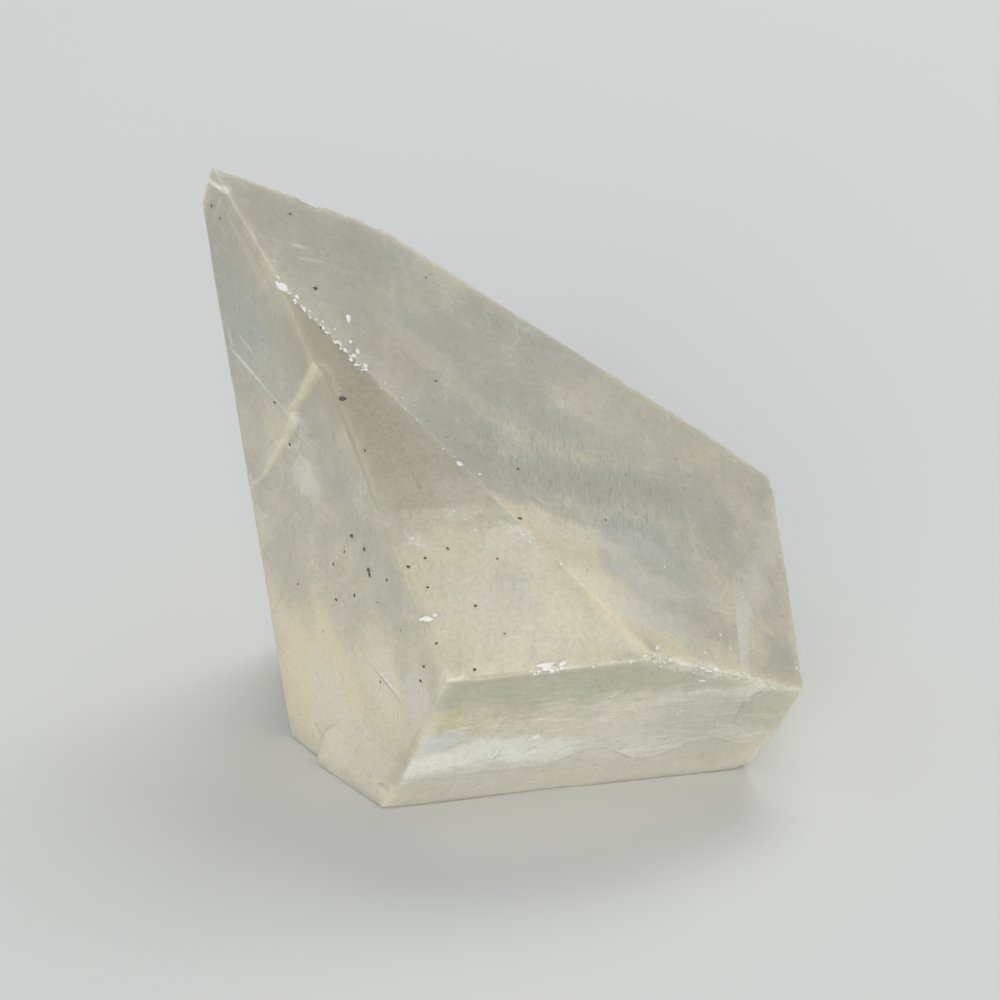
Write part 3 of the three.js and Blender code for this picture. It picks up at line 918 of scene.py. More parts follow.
def crumb_lumps(settings):
    """The crushed white crumbs on the bruised edges, and the rows of grit: partly painted glints.
    """
    luck = np.random.default_rng(21)
    places = [np.array([on_face(*row[:3]) for row in CRUMBS])]
    shapes = [np.array([row[3:] for row in CRUMBS])]
    for edge, start, end, count, size, stray in GRIT:
        first, whole, (along, across, _) = edge_axes(edge)
        at = luck.uniform(start, end, count) * whole
        aside = luck.normal(0, stray, count)
        places.append(first + at[:, None] * along + aside[:, None] * across)
        length = size * luck.uniform(0.5, 1.5, count)
        width = length * luck.uniform(0.5, 1.0, count)
        shapes.append(np.stack([length, width, luck.uniform(0, 180, count)], axis=1))
    places, (length, width, turns) = np.concatenate(places), np.concatenate(shapes).T
    sizes = np.stack([length, width, CRUMB_HEIGHT * np.minimum(length, width)], axis=1)
    return lumps(places, sizes, turns, settings, 5)


def grain_lumps(settings):
    """The dark mineral grains: those of the front faces, and a scatter on the faces behind."""
    luck = np.random.default_rng(11)
    hidden = [scattered(name, settings.hidden_grains, luck) for name in HIDDEN_FACES]
    rows = rows_of(GRAINS)
    places = np.concatenate([[on_face(*row[:3]) for row in rows], *hidden])
    hidden_size = luck.uniform(*HIDDEN_SIZES, len(places) - len(rows))
    size = settings.grain_scale * np.concatenate([[row[3] for row in rows], hidden_size])
    stretch = luck.uniform(0.65, 1.0, len(size))
    sizes = np.stack([size, size * stretch, GRAIN_HEIGHT * size], axis=1)
    return lumps(places, sizes, luck.uniform(0, 180, len(size)), settings, 6)


# ------------------------------------------------------------ meshes

def write_mesh(name, points, triangles, materials, attributes=None):
    """A mesh object at the origin from points in millimetres, with its materials and a value per
    point for each named attribute."""
    mesh = bpy.data.meshes.new(name)
    mesh.vertices.add(len(points))
    mesh.vertices.foreach_set("co", (points * MM).astype(np.float32).ravel())
    mesh.loops.add(triangles.size)
    mesh.loops.foreach_set("vertex_index", triangles.astype(np.int32).ravel())
    mesh.polygons.add(len(triangles))
    mesh.polygons.foreach_set("loop_start", np.arange(0, triangles.size, 3, dtype=np.int32))
    mesh.update(calc_edges=True)
    for title, values in (attributes or {}).items():
        attribute = mesh.attributes.new(title, "FLOAT", "POINT")
        attribute.data.foreach_set("value", values.astype(np.float32))
    if mesh.validate():
        raise RuntimeError(f"{name}: the mesh was not sound")
    for material in materials:
        mesh.materials.append(material)
    piece = bpy.data.objects.new(name, mesh)
    bpy.context.scene.collection.objects.link(piece)
    return piece


def add_to_crystal(piece):
    """Gives a finished piece its place on the crystal's one body."""
    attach(piece, "root")


# ------------------------------------------------------------ materials

def linear(hex_colour):
    """An sRGB colour such as "#c9c3a8" as the linear numbers that the shaders take."""
    parts = [int(hex_colour[i : i + 2], 16) / 255 for i in (1, 3, 5)]
    return [p / 12.92 if p <= 0.04045 else ((p + 0.055) / 1.055) ** 2.4 for p in parts]


def opaque(colour):
    """A colour with the fourth number that the sockets want."""
    return (*colour[:3], 1.0)


def fill(tree, node, inputs):
    """Gives a node its inputs by name or number, each a value or another node's output."""
    for name, value in inputs.items():
        if isinstance(value, bpy.types.NodeSocket):
            tree.links.new(value, node.inputs[name])
        else:
            node.inputs[name].default_value = value


def add(tree, kind, inputs, output=0, **properties):
    """Adds one shader node, with its own properties by name and its inputs, and gives back one of
    its outputs."""
    node = tree.nodes.new("ShaderNode" + kind)
    for name, value in properties.items():
        setattr(node, name, value)
    fill(tree, node, inputs)
    return node.outputs[output]


def new_material(name):
    """A material with its node tree and its Principled shader."""
    material = bpy.data.materials.new(name)
    material.use_nodes = True
    return material, material.node_tree, material.node_tree.nodes["Principled BSDF"]


def reckoned(tree, operation, *values):
    """One step of arithmetic on numbers."""
    return add(tree, "Math", dict(enumerate(values)), operation=operation)


def ranged(tree, value, low, high, most=1.0, least=0.0, curve="LINEAR"):
    """A value carried from the range low to high to the range least to most, and held there."""
    ends = {"Value": value, "From Min": low, "From Max": high, "To Min": least, "To Max": most}
    return add(tree, "MapRange", ends, interpolation_type=curve)


def mixed(tree, share, colour, other):
    """A colour mixed by a share with another one. The first may be a node's output."""
    if not isinstance(colour, bpy.types.NodeSocket):
        colour = opaque(colour)
    return add(tree, "Mix", {0: share, 6: colour, 7: opaque(other)}, 2, data_type="RGBA")


def noise(tree, place, scale, detail, roughness=0.5, output=0):
    """Cloudy random values, 1 / scale millimetres across, with as many finer sizes added as the
    detail says, each half as large as the last and weaker by the roughness."""
    inputs = {"Vector": place, "Scale": scale, "Detail": detail, "Roughness": roughness}
    return add(tree, "TexNoise", inputs, output)


def strayed(tree, start, place, scale, detail, roughness, stray):
    """A start shifted by cloudy random values read at a place, by half of `stray` at most."""
    random = noise(tree, place, scale, detail, roughness, "Color")
    centred = add(tree, "VectorMath", {0: random, 1: (0.5,) * 3}, operation="SUBTRACT")
    return add(
        tree, "VectorMath", {0: centred, 1: (stray,) * 3, 2: start}, operation="MULTIPLY_ADD"
    )


def millimetres(tree):
    """The place on the object, in millimetres."""
    place = add(tree, "TexCoord", {}, "Object")
    return add(tree, "Mapping", {"Vector": place, "Scale": (1 / MM,) * 3})


def plane_turn(normal):
    """The turn that lays a texture's Z axis along a plane's normal."""
    return tuple(Vector(normal).to_track_quat("Z", "Y").to_euler())


# Soft clouds and veils inside the calcite, each an ellipsoid under a face: face, millimetres right
# and up, half-length, half-width, turn of the length from level, tone, and strength. The shade
# clouds along the top of the front break are painted shade.
CLOUDS = {
    "left": [
        (-10.3, 14.1, 4.4, 2.6, -49, "blue", 0.4),
        (-4.6, 13.8, 4.0, 1.8, -62, "shade", 0.6),
        (-2.6, 13.4, 4.2, 1.4, -48, "umber", 0.5),
        (-1.4, -6.2, 6.2, 5.2, -54, "honey", 0.75),
        (-5.6, -0.4, 3.6, 2.4, -60, "grey", 0.5),
        (-3.4, -9.0, 4.0, 3.5, 0, "honey", 0.5),
        (5.7, 2.8, 3.7, 2.2, -46, "grey", 0.35),
        (-1.5, 9.0, 3.5, 1.6, -50, "grey", 0.6),
        (-3.7, 6.1, 1.8, 1.1, -30, "pale", 0.6),
        (-6.1, 8.15, 1.0, 0.2, 12, "white", 0.35),
        (-4.6, 7.95, 1.2, 0.22, -40, "white", 0.35),
        (2.4, -9.2, 5.1, 2.4, 7, "pale", 0.5),
        (-0.6, -7.4, 3.4, 2.2, -50, "pale", 0.45),
        (5.4, -3.4, 3.6, 2.2, -50, "honey", 0.6),
        (5.6, -3.6, 3.4, 2.0, -50, "pale", 0.45),
        (9.5, -3.0, 2.4, 1.5, -60, "pale", 0.55),
    ],
    "upper_right": [
        (-0.9, 20.1, 5.5, 4.5, -70, "umber", 0.5),
        (-2.9, 25.4, 2.6, 2.8, -70, "umber", 0.65),
        (-4.0, 13.5, 4.0, 3.0, -80, "umber", 0.4),
        (1.0, 9.0, 6.0, 3.0, -60, "grey", 0.4),
        (-2.0, 10.4, 4.6, 1.2, -88, "cream", 0.3),
        (9.0, -0.5, 6.7, 2.8, -63, "cream", 0.25),
        (1.2, -2.2, 7.8, 1.7, -39, "grey", 0.85),
        (-2.8, -0.3, 5.0, 0.8, -48, "grey", 0.6),
        (-1.9, -6.7, 4.6, 3.2, -60, "blue", 0.35),
        (-1.4, -6.4, 2.4, 0.9, -60, "pale", 0.3),
        (-6.6, -2.0, 5.2, 1.6, -51, "honey", 0.65),
        (-4.6, -4.0, 4.2, 0.9, -56, "pale", 0.3),
        (-9.0, -6.2, 4.8, 3.0, -62, "honey", 0.85),
        (-8.6, -6.6, 3.4, 1.8, -62, "white", 0.3),
        (-2.9, -12.2, 3.4, 1.6, -56, "grey", 0.4),
        (-5.9, -10.4, 3.2, 1.6, -60, "pale", 0.6),
        (-7.2, -12.0, 2.4, 1.2, -60, "honey", 0.6),
        (-3.6, -8.6, 2.8, 1.4, -60, "pale", 0.5),
        (2.6, 1.6, 4.4, 1.8, -42, "grey", 0.5),
    ],
    "right_shoulder": [
        (-0.3, -16.8, 2.1, 1.1, 25, "grey", 0.5),
        (-1.7, -13.9, 4.1, 0.9, 25, "pale", 0.8),
        (8.6, -11.7, 4.3, 1.0, 17, "pale", 0.35),
        (11.2, -6.4, 2.4, 1.2, -20, "grey", 0.35),
        (3.4, -12.8, 2.4, 1.0, 20, "pale", 0.5),
    ],
    "front_triangle": [
        (-10.8, 8.2, 5.8, 2.4, -63, "umber", 0.7),
        (-6.4, 1.8, 4.4, 1.3, -55, "umber", 0.2),
        (-7.5, -4.5, 2.2, 2.0, 70, "cream", 0.6),
        (-1.6, -7.9, 5.6, 2.7, -13, "pale", 0.4),
        (4.4, -10.0, 2.2, 0.9, -20, "pale", 0.5),
        (-4.5, 0.2, 2.2, 1.2, -30, "pale", 0.4),
        (-1.4, -3.9, 2.2, 1.2, -30, "pale", 0.4),
        (1.8, -8.1, 4.0, 1.6, -60, "honey", 0.35),
        (-0.8, -2.5, 1.3, 0.6, -25, "white", 0.3),
        (-7.2, -2.4, 0.8, 0.5, -69, "pale", 0.5),
        (-6.0, -8.4, 2.0, 2.1, 73, "cream", 0.6),
    ],
    # The shade clouds here are painted shade under the overhanging front edge. They are darkest
    # next to the edge and fade downwards, and they also cover the strip along the edge at the
    # right-hand end.
    "front_cleavage": [
        (3.0, -3.5, 15.0, 4.5, 0, "ash", 0.8),
        (8.0, 3.0, 9.0, 4.0, 0, "ash", 0.6),
        (-0.9, 6.6, 7.4, 3.2, -2, "shade", 0.8),
        (6.0, 5.6, 4.0, 1.6, -8, "shade", 0.65),
        (9.8, 4.9, 3.4, 1.3, -8, "shade", 0.7),
        (-6.8, 6.2, 1.5, 2.2, 9, "shade", 0.7),
        (-6.5, 3.7, 1.3, 0.8, 58, "green", 0.45),
        (-7.0, 1.4, 1.3, 1.0, 43, "ice", 0.6),
        # These white clouds are partly whitish calcite and partly a painted satin sheen.
        (-4.9, -0.6, 3.6, 1.5, 6, "white", 0.6),
        (-0.2, -0.8, 3.0, 1.2, 2, "white", 0.5),
        (4.2, -2.3, 2.8, 0.8, 3, "white", 0.25),
        (-7.3, -1.4, 2.2, 1.2, 14, "white", 0.45),
        (11.3, -3.1, 2.6, 1.6, 0, "shade", 0.3),
        (9.4, 0.7, 3.6, 2.6, -2, "grey", 0.5),
        (12.6, 3.6, 1.3, 0.6, 35, "white", 0.15),
        (14.0, 0.4, 3.4, 2.4, -40, "shade", 0.7),
    ],
}
CLOUD_DEPTH = 2.2  # how far under a face its clouds reach, in millimetres
CLOUD_SPREAD = 1.35  # the drawn half-lengths are where a cloud is still half as strong
CLOUD_RIM = 0.62  # the outer part of a cloud's radius, over which it thins out
# What makes the clouds ragged: scale, detail and roughness of the noise, and how far it carries.
WISPS = (0.34, 3.0, 0.62, 3.07)
TATTERS = (1.5, 2.0, 0.65, 1.15)
CRACK_TINT = 0.2  # how much darker the calcite is above the old crack
CRACK_SHADE = {"front_triangle": 0.4}  # and how much darker again under one face

# Narrow seams in the calcite under a ridge or a scratch: face, two ends, half-width, tone and
# strength. The pale ones are bruised calcite except where noted. The umber ones along the ridges
# and the front edge, and the shade one under that edge, are painted shade.
SEAMS = [
    # Painted shade along the apex ridge, the left ridge, the front corner and the left part of the
    # front edge darkens their highlights.
    ("left", (-14.4, 23.2), (-6.4, 18.3), 0.34, "umber", 0.5),
    ("left", (-12.8, 21.0), (-7.8, 17.4), 0.5, "cream", 0.25),
    ("left", (-6.3, 18.3), (12.6, -0.4), 0.34, "umber", 0.45),
    ("front_cleavage", (-7.1, 7.2), (-9.6, -5.6), 0.4, "umber", 0.35),
    ("front_triangle", (-6.4, -11.4), (-1.6, -11.2), 0.34, "umber", 0.6),
    # A painted glint at the apex.
    ("left", (-15.1, 22.45), (-12.7, 22.3), 0.3, "white", 0.6),
    ("left", (-12.9, 13.5), (-12.3, 12.4), 0.28, "pale", 0.5),
    ("upper_right", (-3.4, 21.9), (-2.4, 21.0), 0.25, "pale", 0.4),
    ("upper_right", (-3.9, 20.9), (-2.2, 19.6), 0.25, "pale", 0.3),
    ("left", (-12.4, 12.1), (-8.6, 11.0), 0.2, "white", 0.55),
    ("left", (-9.2, 11.2), (-4.6, 9.8), 0.16, "pale", 0.4),
    ("left", (-11.5, 13.35), (-9.8, 12.75), 0.2, "pale", 0.45),
    # The white and pale seams are a painted highlight on the lit side of a scratch, and the umber
    # one is the dark line beside it.
    ("left", (4.2, -2.65), (7.6, -3.65), 0.15, "white", 0.5),
    ("left", (4.1, -2.9), (7.6, -3.95), 0.13, "umber", 0.6),
    ("left", (5.6, -3.0), (6.9, -2.6), 0.45, "pale", 0.5),
    ("front_triangle", (-11.9, 9.1), (-11.3, 8.0), 0.14, "pale", 0.6),
    ("upper_right", (-8.7, -5.6), (-9.0, -11.6), 0.8, "honey", 0.6),
    # A painted shadow line just under the front edge.
    ("front_cleavage", (-6.4, 7.0), (5.2, 6.95), 0.28, "shade", 0.7),
]
SEAM_DEPTH = 0.9
SEAM_SPREAD = 0.75  # a seam's half-length, as a share of the distance between its ends

# Fine streaks and flecks, each within its own cloud (face, millimetres right and up, turn and
# half-sizes): slices parallel to the level cleavage (thickness, breadth and detail), or flecks
# (scale and detail), then tones, each with the noise levels where it starts and where it is full,
# and its strength.
STREAKS = [
    {
        "face": "upper_right", "middle": (-0.2, -0.6), "turn": -50, "sizes": (11.5, 7.0, 3.0),
        "slices": (0.055, 1.1, 1.0),
        "tones": [("dark", 0.43, 0.33, 0.24), ("pale", 0.57, 0.68, 0.16)],
    },
    {
        "face": "front_cleavage", "middle": (2.0, -0.5), "turn": 0, "sizes": (19.0, 9.0, 2.0),
        "slices": (0.2, 1.5, 2.0),
        "tones": [("umber", 0.42, 0.28, 0.25), ("white", 0.56, 0.72, 0.35)],
    },
    {
        "face": "front_triangle", "middle": (-7.6, 4.0), "turn": -60, "sizes": (9.5, 2.6, 2.0),
        "flecks": (4.2, 2.0),
        "tones": [("dark", 0.56, 0.72, 0.24), ("pale", 0.42, 0.3, 0.12)],
    },
]

# How far each mark of the surface tints the calcite, in the order in which they cover each other.
# The groove mark's dark is painted shade.
MARK_TINTS = {
    "layer": ("tan", 0.25), "groove": ("dark", 0.4), "riser": ("cream", 0.75),
    # The white on fresh breaks is partly bruised calcite and partly a painted glint.
    "fresh_break": ("white", 0.14),
}
CALCITE_IOR = 1.6  # between the 1.49 and the 1.66 of its two rays


def laid(texture, turn, scale, middle=(0, 0, 0)):
    """Lays a texture out in the crystal: moved to a middle, turned and scaled."""
    mapping = texture.node.texture_mapping
    mapping.vector_type = "TEXTURE"
    mapping.translation, mapping.rotation, mapping.scale = middle, turn, scale
    return texture


def cloud_share(tree, place, middle, axes, sizes, strength):
    """How strongly a cloud shows: in coordinates turned and scaled to its ellipsoid, from full
    strength in the middle by an S-curve to none at the surface of the ellipsoid."""
    near = add(tree, "TexGradient", {"Vector": place}, "Fac", gradient_type="SPHERICAL")
    laid(near, Matrix(np.stack(axes, axis=1).tolist()).to_euler(), sizes, middle)
    return ranged(tree, near, 0.0, CLOUD_RIM, strength, curve="SMOOTHSTEP")


def reaches(face, middle, axes, sizes):
    """Whether an ellipsoid reaches a face's plane: its middle's height over the plane is less than
    its half-thickness in that direction, the root of the sum of (size x axis.outward)^2."""
    number = NAMES.index(face)
    half = np.linalg.norm(np.array(sizes) * (np.stack(axes) @ OUTWARD[number]))
    return abs(heights_over(middle)[number]) < half


def turned_on_face(name, turn):
    """A face's own three axes, turned in the face by an angle in degrees."""
    face = NAMES.index(name)
    x, _ = turned_axes(turn).T @ np.stack([ACROSS[face], SLOPE[face]])
    return x, np.cross(OUTWARD[face], x), OUTWARD[face]


def sheets(tree, place, normal, thickness, breadth, detail=2.0):
    """Random values in sheets parallel to a cleavage plane: noise in coordinates that are turned to
    the plane and measured in breadths along it and thicknesses across it."""
    return laid(noise(tree, place, 1.0, detail), plane_turn(normal), (breadth, breadth, thickness))


def plain_calcite(tree, place, warped, finish):
    """The colour of the calcite without its clouds, and how far each place is above the crack."""
    # Broad veils, 8 mm across, and more of them towards the foot.
    height = add(tree, "SeparateXYZ", {"Vector": place}, "Z")
    lift = ranged(tree, height, 0.0, 32.0, -0.12, 0.3)
    veil = reckoned(tree, "ADD", noise(tree, warped, 0.12, 3.0, 0.55), lift)
    colour = mixed(tree, ranged(tree, veil, 0.38, 0.78), finish.grey, finish.cream)
    # Thin veils along the three cleavages, 0.5 mm thick and 5 mm broad.
    for normal in CLEAVAGE.values():
        sheet = sheets(tree, warped, normal, 0.5, 5.0)
        colour = mixed(tree, ranged(tree, sheet, 0.44, 0.3, 0.3), colour, finish.grey)
        colour = mixed(tree, ranged(tree, sheet, 0.58, 0.72, 0.3), colour, finish.pale)
    # The old crack: above its plane the calcite is darker.
    level = {0: place, 1: CLEAVAGE["level"]}
    along = add(tree, "VectorMath", level, "Value", operation="DOT_PRODUCT")
    over = reckoned(tree, "SUBTRACT", along, CRACK_REACH)
    above = ranged(tree, over, -0.15, 0.25, CRACK_TINT, curve="SMOOTHSTEP")
    return mixed(tree, above, colour, finish.umber), above


def calcite_colour(tree, place, finish, face):
    """The colour of the calcite under a face, with its clouds and seams."""
    warped = strayed(tree, place, place, *WISPS)
    warped = strayed(tree, warped, place, *TATTERS)
    colour, above = plain_calcite(tree, place, warped, finish)
    for x, y, half_length, half_width, turn, tone, strength in CLOUDS.get(face, ()):
        sizes = (half_length * CLOUD_SPREAD, half_width * CLOUD_SPREAD, CLOUD_DEPTH)
        cloud = (on_face(face, x, y), turned_on_face(face, turn), sizes)
        share = cloud_share(tree, warped, *cloud, strength)
        colour = mixed(tree, share, colour, getattr(finish, tone))
    if face in CRACK_SHADE:
        share = reckoned(tree, "MULTIPLY", above, CRACK_SHADE[face] / CRACK_TINT)
        colour = mixed(tree, share, colour, finish.umber)
    for seam_face, start, end, half_width, tone, strength in SEAMS:
        span = np.subtract(end, start)
        axes = turned_on_face(seam_face, math.degrees(math.atan2(span[1], span[0])))
        sizes = (np.hypot(*span) * SEAM_SPREAD, half_width, SEAM_DEPTH)
        seam = (on_face(seam_face, *np.add(start, end) / 2), axes, sizes)
        if reaches(face, *seam):
            share = cloud_share(tree, place, *seam, strength)
            colour = mixed(tree, share, colour, getattr(finish, tone))
    return colour


def streaks(tree, place, colour, finish, face):
    """Fine streaks on a colour where hairline cleavage cracks come out, on the upper face and on
    the front break, and a mottled band of tiny inclusions under the main ridge. Then a faint grain
    of bubbles all over."""
    for streak in STREAKS:
        on = streak["face"]
        axes = turned_on_face(on, streak["turn"])
        cloud = (on_face(on, *streak["middle"]), axes, streak["sizes"])
        if not reaches(face, *cloud):
            continue
        where = cloud_share(tree, place, *cloud, 1.0)
        if "slices" in streak:
            random = sheets(tree, place, CLEAVAGE["level"], *streak["slices"])
        else:
            random = noise(tree, place, *streak["flecks"])
        for tone, start, full, strength in streak["tones"]:
            share = ranged(tree, random, start, full, strength)
            share = reckoned(tree, "MULTIPLY", share, where)
            colour = mixed(tree, share, colour, getattr(finish, tone))
    bubbles = ranged(tree, noise(tree, place, 3.6, 3.0, 0.7), 0.25, 0.75, 1.1, 0.9)
    return add(tree, "HueSaturation", {"Color": colour, "Value": bubbles})


def milky_calcite(finish, face):
    """Milky calcite spar: growth faces etched to a satin by weak acid groundwater, so the gloss is
    broad and soft; clear cleavage along fresh breaks, so those are smoother and catch the light;
    and countless tiny fluid bubbles inside, which scatter the light a few millimetres deep. Every
    face has a material of its own, because each works out only the clouds that lie under it."""
    material, tree, shader = new_material(f"milky_calcite_{face}")
    place = millimetres(tree)
    colour = streaks(tree, place, calcite_colour(tree, place, finish, face), finish, face)
    marks = {}
    for mark, (tone, strength) in MARK_TINTS.items():
        marks[mark] = add(tree, "Attribute", {}, "Fac", attribute_name=mark)
        share = reckoned(tree, "MULTIPLY", marks[mark], strength)
        colour = mixed(tree, share, colour, getattr(finish, tone))
    # Growth lines and etching: sheets 0.2 and 0.3 mm thick along two cleavages, and dimples 0.6 mm
    # across, which are rough at the bottom.
    dimples = noise(tree, place, 1.6, 2.0)
    lines = sheets(tree, place, CLEAVAGE["front"], 0.22, 4.0)
    lines = reckoned(tree, "ADD", lines, sheets(tree, place, CLEAVAGE["level"], 0.3, 3.0))
    relief_here = reckoned(tree, "ADD", lines, dimples)
    etched = {"Height": relief_here, "Distance": finish.etching, "Strength": 0.45}
    rough = ranged(tree, dimples, 0.3, 0.7, finish.roughness + 0.1, finish.roughness - 0.07)
    fill(tree, shader, {
        "Base Color": colour,
        "Roughness": reckoned(tree, "MULTIPLY_ADD", marks["fresh_break"], -0.1, rough),
        "Normal": add(tree, "Bump", etched),
        "IOR": CALCITE_IOR,
        "Subsurface Weight": 0.85,
        "Subsurface Radius": (1.0, 0.92, 0.75),
        "Subsurface Scale": finish.scatter,
    })
    return material


def crushed_calcite(finish):
    """Crushed calcite: shattered to a powdery white that scatters light at once, with a few tiny
    cleavage mirrors left in it. The white is also a painted glint on the bruised edges."""
    material, tree, shader = new_material("crushed_calcite")
    random = noise(tree, millimetres(tree), 4.0, 2.0)
    fill(tree, shader, {
        "Base Color": mixed(tree, random, finish.crushed_and_painted_glint, finish.white),
        "Roughness": ranged(tree, random, 0.0, 1.0, 0.5, 0.15),
        "IOR": CALCITE_IOR,
    })
    return material


def oxide_grains(finish):
    """Manganese and iron oxide grains: dull, nearly black, a few rusted to brown."""
    material, tree, shader = new_material("manganese_and_iron_oxide")
    place = millimetres(tree)
    rusted = ranged(tree, noise(tree, place, 0.8, 1.0), 0.5, 0.75)
    pitted = {"Height": noise(tree, place, 18.0, 2.0), "Distance": 0.02 * MM}
    fill(tree, shader, {
        "Base Color": mixed(tree, rusted, finish.grains, finish.rust),
        "Normal": add(tree, "Bump", pitted),
        "Roughness": 0.55,
        "IOR": 2.0,
    })
    return material


def matt_paper(colour):
    """Matt paper, for the floor."""
    material, tree, shader = new_material("matt_paper_floor")
    fill(tree, shader, {"Base Color": opaque(colour), "Roughness": 0.8})
    return material


# ------------------------------------------------------------ settings, pieces and stage

def colour_setting(name, description, hex_colour):
    """A colour that a user of the add-on can change."""
    return FloatVectorProperty(
        name=name, description=description, subtype="COLOR", min=0.0, max=1.0,
        default=linear(hex_colour),
    )


class CalciteCrystalSettings(bpy.types.PropertyGroup):
    """Sizes of the crystal's surface and of what sits on it"""

    edge_wear: FloatProperty(
        name="Edge wear", description="How widely the edges are rounded", default=0.04 * MM,
        min=0.01 * MM, max=0.5 * MM, precision=5, unit="LENGTH",
    )
    swell: FloatProperty(
        name="Swell", description="How far the flat faces rise and fall", default=0.025 * MM,
        min=0.0, max=0.2 * MM, precision=5, unit="LENGTH",
    )
    grain_scale: FloatProperty(
        name="Grain size", description="Scales the dark mineral grains", default=1.55,
        min=0.2, max=3.0,
    )
    hidden_grains: IntProperty(
        name="Grains behind", description="How many dark grains each face behind carries",
        default=14, min=1, max=60,
    )


class CalciteFinishSettings(bpy.types.PropertyGroup):
    """Colours and surface of the calcite, its bruises and its grains"""

    cream: colour_setting("Cream", "Clean milky calcite", "#dad3b9")
    ash: colour_setting("Ash", "Milky calcite of the clean break", "#d2d0c5")
    honey: colour_setting("Honey", "Milky calcite with a trace of iron", "#e9dfbf")
    pale: colour_setting("Pale", "The brightest, milkiest calcite", "#e0ddd0")
    grey: colour_setting("Grey", "Clearer calcite, which looks darker", "#b4b3a6")
    blue: colour_setting("Blue grey", "Veils that scatter the blue", "#b3bab6")
    # Umber is also the painted shade along the ridges and the front edge.
    umber: colour_setting("Umber", "Calcite stained above the crack", "#aaa491")
    shade: colour_setting("Shade", "Clear calcite under the front edge", "#b2b29f")
    # Shade is the painted shade under the front edge, and a darker tone for patches elsewhere.
    ice: colour_setting("Ice", "A thin bluish veil at the front corner", "#d3d8d8")
    tan: colour_setting("Tan", "The calcite under the cleavage step", "#c4bfab")
    green: colour_setting("Yellow green", "A stain at the front corner", "#c9c38e")
    # White is bruised and freshly broken calcite, and it is also painted glints and a painted
    # sheen.
    white: colour_setting("White", "Bruised and freshly broken calcite", "#eeeee6")
    # Crushed is powdered calcite, and it is also the painted glint of the crumbs.
    crushed_and_painted_glint: colour_setting("Crushed", "Powdered calcite", "#f2f1e8")
    # This dark also serves as the painted shade in the nicks and on the risers.
    dark: colour_setting("Streaks", "Fine cracks and inclusions", "#7c7a6e")
    grains: colour_setting("Grains", "Manganese oxide", "#2e2a26")
    rust: colour_setting("Rust", "Iron oxide", "#6e4a30")
    roughness: FloatProperty(
        name="Roughness", description="How broad the gloss is on the growth faces", default=0.34,
        min=0.1, max=0.9, subtype="FACTOR",
    )
    etching: FloatProperty(
        name="Etching", description="Depth of the growth lines and dimples", default=0.014 * MM,
        min=0.0, max=0.1 * MM, precision=5, unit="LENGTH",
    )
    scatter: FloatProperty(
        name="Scatter", description="How far light spreads inside the calcite", default=2.2 * MM,
        min=0.1 * MM, max=10 * MM, precision=4, unit="LENGTH",
    )


class CalciteStageSettings(bpy.types.PropertyGroup):
    """The floor and the lights"""

    floor: colour_setting("Floor", "Plain pale floor", "#ecece9")
    key_power: FloatProperty(
        name="Key light", description="Low softbox in front", default=1.7, min=0.0, max=20.0,
        unit="POWER",
    )
    back_power: FloatProperty(
        name="Back light", description="High softbox behind", default=1.0, min=0.0, max=20.0,
        unit="POWER",
    )
    room: FloatProperty(
        name="Room light", description="Strength of the even light all round", default=0.43,
        min=0.0, max=3.0,
    )


SHARP_EDGE = 28  # degrees between two triangles from which their edge looks sharp


class CALCITE_OT_crystal(bpy.types.Operator):
    """Makes the crystal itself: worn faces, growth ledges, cleavage steps and chipped edges"""

    bl_idname = "calcite.crystal"
    bl_label = "Crystal"

    def execute(self, context):
        points, triangles, attributes = crystal_surface(context.scene.calcite_crystal)
        materials = [milky_calcite(context.scene.calcite_finish, face) for face in NAMES]
        name = "calcite_crystal_surface"
        piece = write_mesh(name, points, triangles, materials, attributes)
        face = heights_over(points[triangles].mean(axis=1)).argmax(axis=1)
        piece.data.polygons.foreach_set("material_index", face.astype(np.int32))
        piece.data.polygons.foreach_set("use_smooth", np.ones(len(triangles), bool))
        piece.data.set_sharp_from_angle(angle=math.radians(SHARP_EDGE))
        add_to_crystal(piece)
        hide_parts(CAD_NODE)
        return {"FINISHED"}


class CALCITE_OT_crumbs(bpy.types.Operator):
    """Makes the crushed white crumbs on the bruised edges, partly painted glints"""

    bl_idname = "calcite.crumbs"
    bl_label = "Crushed crumbs"

    def execute(self, context):
        points, triangles = crumb_lumps(context.scene.calcite_crystal)
        material = crushed_calcite(context.scene.calcite_finish)
        piece = write_mesh("crushed_crumbs", points, triangles, [material])
        piece.data.shade_flat()
        add_to_crystal(piece)
        return {"FINISHED"}


class CALCITE_OT_grains(bpy.types.Operator):
    """Makes the dark mineral grains set in the faces"""

    bl_idname = "calcite.grains"
    bl_label = "Mineral grains"

    def execute(self, context):
        points, triangles = grain_lumps(context.scene.calcite_crystal)
        material = oxide_grains(context.scene.calcite_finish)
        add_to_crystal(write_mesh("mineral_grains", points, triangles, [material]))
        return {"FINISHED"}


FLOOR_HALF = 1500.0  # millimetres from the middle of the floor to its sides
SOFTBOXES = {  # place and size in metres, and the setting that gives the power
    "front_softbox": ((-0.06, -0.5, 0.1), 0.32, "key_power"),
    "high_back_softbox": ((0.12, 0.3, 0.45), 0.35, "back_power"),
}
SOFTBOX_GLOSS = 0.4  # how strongly the softboxes show in the gloss
CAMERA_PLACE = (-0.02, -198.88, 107.23)  # millimetres
CAMERA_DOWN = 24.73  # degrees that the camera looks down
CAMERA_ROLL = 0.37  # degrees
CAMERA_LENS = 126.0  # millimetres
ROOM_TINT = (0.93, 0.96, 1.0, 1.0)  # the even light all round is very slightly cool


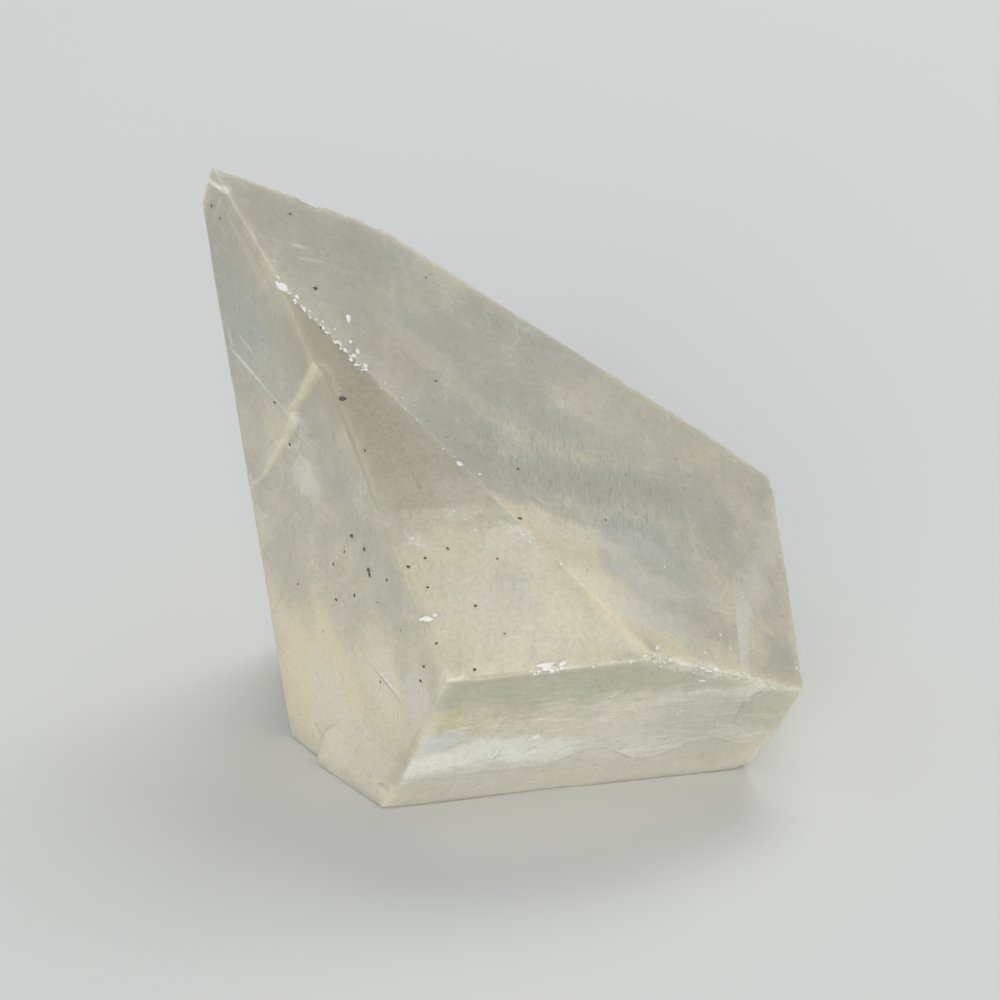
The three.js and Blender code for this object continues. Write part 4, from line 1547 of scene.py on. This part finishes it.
class CALCITE_OT_stage(bpy.types.Operator):
    """Makes the pale floor, the soft lights and the camera"""

    bl_idname = "calcite.stage"
    bl_label = "Stage"

    def execute(self, context):
        scene, stage = context.scene, context.scene.calcite_stage
        square = np.array([(-1, -1, 0), (1, -1, 0), (1, 1, 0), (-1, 1, 0)]) * FLOOR_HALF
        halves = np.array([(0, 1, 2), (0, 2, 3)])
        floor = write_mesh("pale_floor", square, halves, [matt_paper(stage.floor)])
        for name, (place, size, power) in SOFTBOXES.items():
            data = bpy.data.lights.new(name, "AREA")
            data.energy = getattr(stage, power)
            data.size = size
            data.specular_factor = SOFTBOX_GLOSS
            lamp = bpy.data.objects.new(name, data)
            lamp.location = place
            towards = Vector(HEART * MM) - Vector(place)
            lamp.rotation_euler = towards.to_track_quat("-Z", "Y").to_euler()
            scene.collection.objects.link(lamp)
        world = bpy.data.worlds.new("studio")
        world.use_nodes = True
        background = world.node_tree.nodes["Background"]
        fill(world.node_tree, background, {"Color": ROOM_TINT, "Strength": stage.room})
        scene.world = world
        scene.view_settings.view_transform = "Standard"
        lens = bpy.data.cameras.new("camera")
        lens.lens = CAMERA_LENS
        camera = bpy.data.objects.new("camera", lens)
        camera.matrix_world = (
            Matrix.Translation(Vector(CAMERA_PLACE) * MM)
            @ Matrix.Rotation(math.radians(90 - CAMERA_DOWN), 4, "X")
            @ Matrix.Rotation(math.radians(CAMERA_ROLL), 4, "Z")
        )
        scene.collection.objects.link(camera)
        scene.camera = camera
        return {"FINISHED"}


class CALCITE_PT_panel(bpy.types.Panel):
    """Lists the pieces and their settings in the sidebar"""

    bl_label = "Calcite crystal point"
    bl_idname = "CALCITE_PT_panel"
    bl_space_type = "VIEW_3D"
    bl_region_type = "UI"
    bl_category = "Calcite"

    def draw(self, context):
        for operator in OPERATORS:
            self.layout.operator(operator.bl_idname)
        for name in SETTINGS:
            group = getattr(context.scene, name)
            box = self.layout.box()
            for setting in group.bl_rna.properties.keys():
                if setting not in ("rna_type", "name"):
                    box.prop(group, setting)


OPERATORS = (CALCITE_OT_crystal, CALCITE_OT_crumbs, CALCITE_OT_grains, CALCITE_OT_stage)
SETTINGS = {
    "calcite_crystal": CalciteCrystalSettings,
    "calcite_finish": CalciteFinishSettings,
    "calcite_stage": CalciteStageSettings,
}
CLASSES = (*SETTINGS.values(), *OPERATORS, CALCITE_PT_panel)


def register():
    for each in CLASSES:
        bpy.utils.register_class(each)
    for name, group in SETTINGS.items():
        setattr(bpy.types.Scene, name, PointerProperty(type=group))


def unregister():
    for name in SETTINGS:
        delattr(bpy.types.Scene, name)
    for each in reversed(CLASSES):
        bpy.utils.unregister_class(each)


def main():
    """Registers the add-on, and makes every piece and the stage."""
    register()
    bpy.ops.calcite.crystal()
    bpy.ops.calcite.crumbs()
    bpy.ops.calcite.grains()
    bpy.ops.calcite.stage()


if __name__ == "__main__":
    main()
